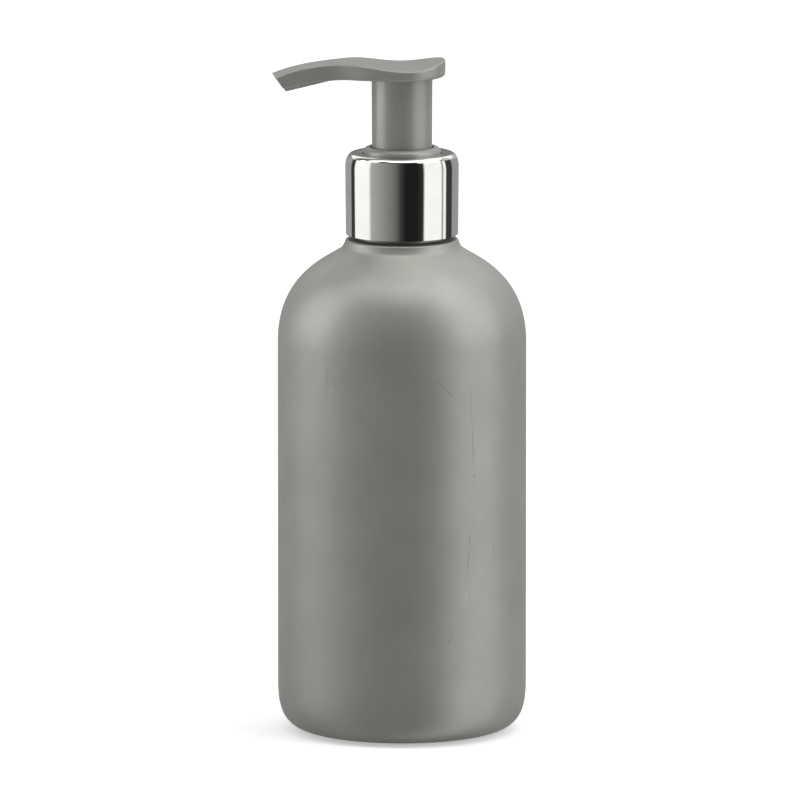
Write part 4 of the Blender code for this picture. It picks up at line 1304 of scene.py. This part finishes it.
# Where each ring of light takes over from the one below it, by the upward part of its direction
BANDS = ((-0.3, -0.22, TABLE_GLOW), (-0.03, 0.1, SOFTBOXES), (0.64, 0.68, CANOPY))
# Where a lamp begins and is full, by the upward part and by the part towards the camera
BACK_LAMP = ((0.3, 0.36), (-0.6, -0.68))
OVERHEAD_LAMP = ((0.88, 0.91), (-0.16, -0.06))


def rightward(s):
    return Vector((math.cos(s.yaw), -math.sin(s.yaw), 0))


def light_ramp(tree, around, levels):
    """Grey level by direction round the bottle."""
    ramp = node(tree, "ShaderNodeValToRGB", {"Fac": around})
    stops = ramp.color_ramp.elements
    while len(stops) > 1:
        stops.remove(stops[-1])
    stops[0].position = 0
    for i, (degrees, level) in enumerate(levels):
        stop = stops[0] if i == 0 else stops.new((degrees + 180) / 360)
        stop.color = (level, level, level, 1)
    return ramp.outputs["Color"]


class PUMP_OT_stage(bpy.types.Operator):
    """Pale floor, soft surrounding light and the camera"""

    bl_idname = "pump.make_stage"
    bl_label = "Stage"

    def execute(self, context):
        s = context.scene.stage_settings
        self.make_floor(s)
        self.make_surround(context.scene, s)
        self.make_side_lamp(context.scene, s)
        self.make_camera(context.scene, s)
        context.scene.view_settings.view_transform = "Standard"
        return {"FINISHED"}

    def make_floor(self, s):
        deselect()
        bpy.ops.mesh.primitive_circle_add(vertices=64, radius=s.floor_size / 2, fill_type="NGON")
        floor = bpy.context.object
        floor.name = floor.data.name = "studio_floor"
        colour = (*s.floor_colour, 1)
        material, tree, shader, _ = new_material(
            "studio_floor", Base_Color=colour, Roughness=0.9, Specular_IOR_Level=0.0
        )
        seen = node(tree, "ShaderNodeLightPath").outputs["Is Camera Ray"]
        plain = shader.outputs[0]
        glow = node(tree, "ShaderNodeEmission", {"Strength": s.floor_glow}).outputs[0]
        paler = node(tree, "ShaderNodeAddShader", {0: plain, 1: glow}).outputs[0]
        shown = node(tree, "ShaderNodeMixShader", {0: seen, 1: plain, 2: paler}).outputs[0]
        fill(tree, tree.nodes["Material Output"], {"Surface": shown})
        floor.data.materials.append(material)
        floor.visible_glossy = False

    def make_surround(self, scene, s):
        world = bpy.data.worlds.new("studio")
        world.use_nodes = True
        scene.world = world
        tree = world.node_tree
        tree.nodes.clear()
        way = node(tree, "ShaderNodeTexCoord").outputs["Generated"]
        front = (-math.sin(s.yaw), -math.cos(s.yaw), 0)
        across = vector_maths(tree, "DOT_PRODUCT", way, rightward(s), "Value")
        ahead = vector_maths(tree, "DOT_PRODUCT", way, front, "Value")
        height = node(tree, "ShaderNodeSeparateXYZ", {"Vector": way}).outputs["Z"]
        angle = maths(tree, "ARCTAN2", across, ahead)
        around = maths(tree, "ADD", maths(tree, "DIVIDE", angle, TURN), 0.5)
        colour = light_ramp(tree, around, NEAR_TABLE)
        for low, high, levels in BANDS:
            ring = light_ramp(tree, around, levels)
            colour = blended(tree, spread(tree, height, low, high), colour, ring)
        for level, (rise, depth) in ((s.back_lamp, BACK_LAMP), (s.overhead, OVERHEAD_LAMP)):
            up, along = spread(tree, height, *rise), spread(tree, ahead, *depth)
            colour = blended(tree, maths(tree, "MULTIPLY", up, along), colour, (level,) * 3)
        seen = node(tree, "ShaderNodeLightPath").outputs["Is Camera Ray"]
        shown = blended(tree, seen, colour, (1, 1, 1))
        light = node(tree, "ShaderNodeBackground", {"Color": shown}).outputs[0]
        node(tree, "ShaderNodeOutputWorld", {"Surface": light})

    def make_side_lamp(self, scene, s):
        light = bpy.data.lights.new("side_lamp", "AREA")
        light.shape = "RECTANGLE"
        light.size, light.size_y = s.side_lamp_width, s.side_lamp_height
        light.energy = s.side_lamp * math.pi * s.side_lamp_width * s.side_lamp_height
        lamp = bpy.data.objects.new("side_lamp", light)
        scene.collection.objects.link(lamp)
        left = -rightward(s)
        lamp.location = left * s.side_lamp_away
        lamp.location.z = s.side_lamp_foot + s.side_lamp_height / 2
        lamp.rotation_euler = (-left).to_track_quat("-Z", "Y").to_euler()
        lamp.visible_camera = False

    def make_camera(self, scene, s):
        camera = bpy.data.objects.new("camera", bpy.data.cameras.new("camera"))
        scene.collection.objects.link(camera)
        aim = Vector((0, 0, s.aim_height)) - rightward(s) * s.aim_side
        level, rise = math.cos(s.elevation), math.sin(s.elevation)
        back = Vector((-math.sin(s.yaw) * level, -math.cos(s.yaw) * level, rise))
        camera.location = aim + back * s.distance
        camera.rotation_euler = (-back).to_track_quat("-Z", "Y").to_euler()
        camera.data.lens = s.lens
        camera.data.clip_end = s.distance * 10
        scene.camera = camera


class PUMP_PT_panel(bpy.types.Panel):
    """Lists the pieces and their settings"""

    bl_label = "Pump bottle"
    bl_idname = "PUMP_PT_panel"
    bl_space_type = "VIEW_3D"
    bl_region_type = "UI"
    bl_category = "Pump bottle"

    def draw(self, context):
        for name, group in SETTINGS.items():
            box = self.layout.box()
            settings = getattr(context.scene, name)
            for label in group.__annotations__:
                box.prop(settings, label)
        for operator in OPERATORS:
            self.layout.operator(operator.bl_idname)


OPERATORS = (
    PUMP_OT_bottle,
    PUMP_OT_collar,
    PUMP_OT_chaplet,
    PUMP_OT_head,
    PUMP_OT_works,
    PUMP_OT_stage,
)


def register():
    for group in (*SETTINGS.values(), *OPERATORS, PUMP_PT_panel):
        bpy.utils.register_class(group)
    for name, group in SETTINGS.items():
        setattr(bpy.types.Scene, name, PointerProperty(type=group))


def unregister():
    for name in SETTINGS:
        delattr(bpy.types.Scene, name)
    for group in (PUMP_PT_panel, *OPERATORS, *SETTINGS.values()):
        bpy.utils.unregister_class(group)


def main():
    register()
    bpy.ops.pump.make_bottle()
    bpy.ops.pump.make_collar()
    bpy.ops.pump.make_chaplet()
    bpy.ops.pump.make_head()
    bpy.ops.pump.make_works()
    bpy.ops.pump.make_stage()


if __name__ == "__main__":
    main()
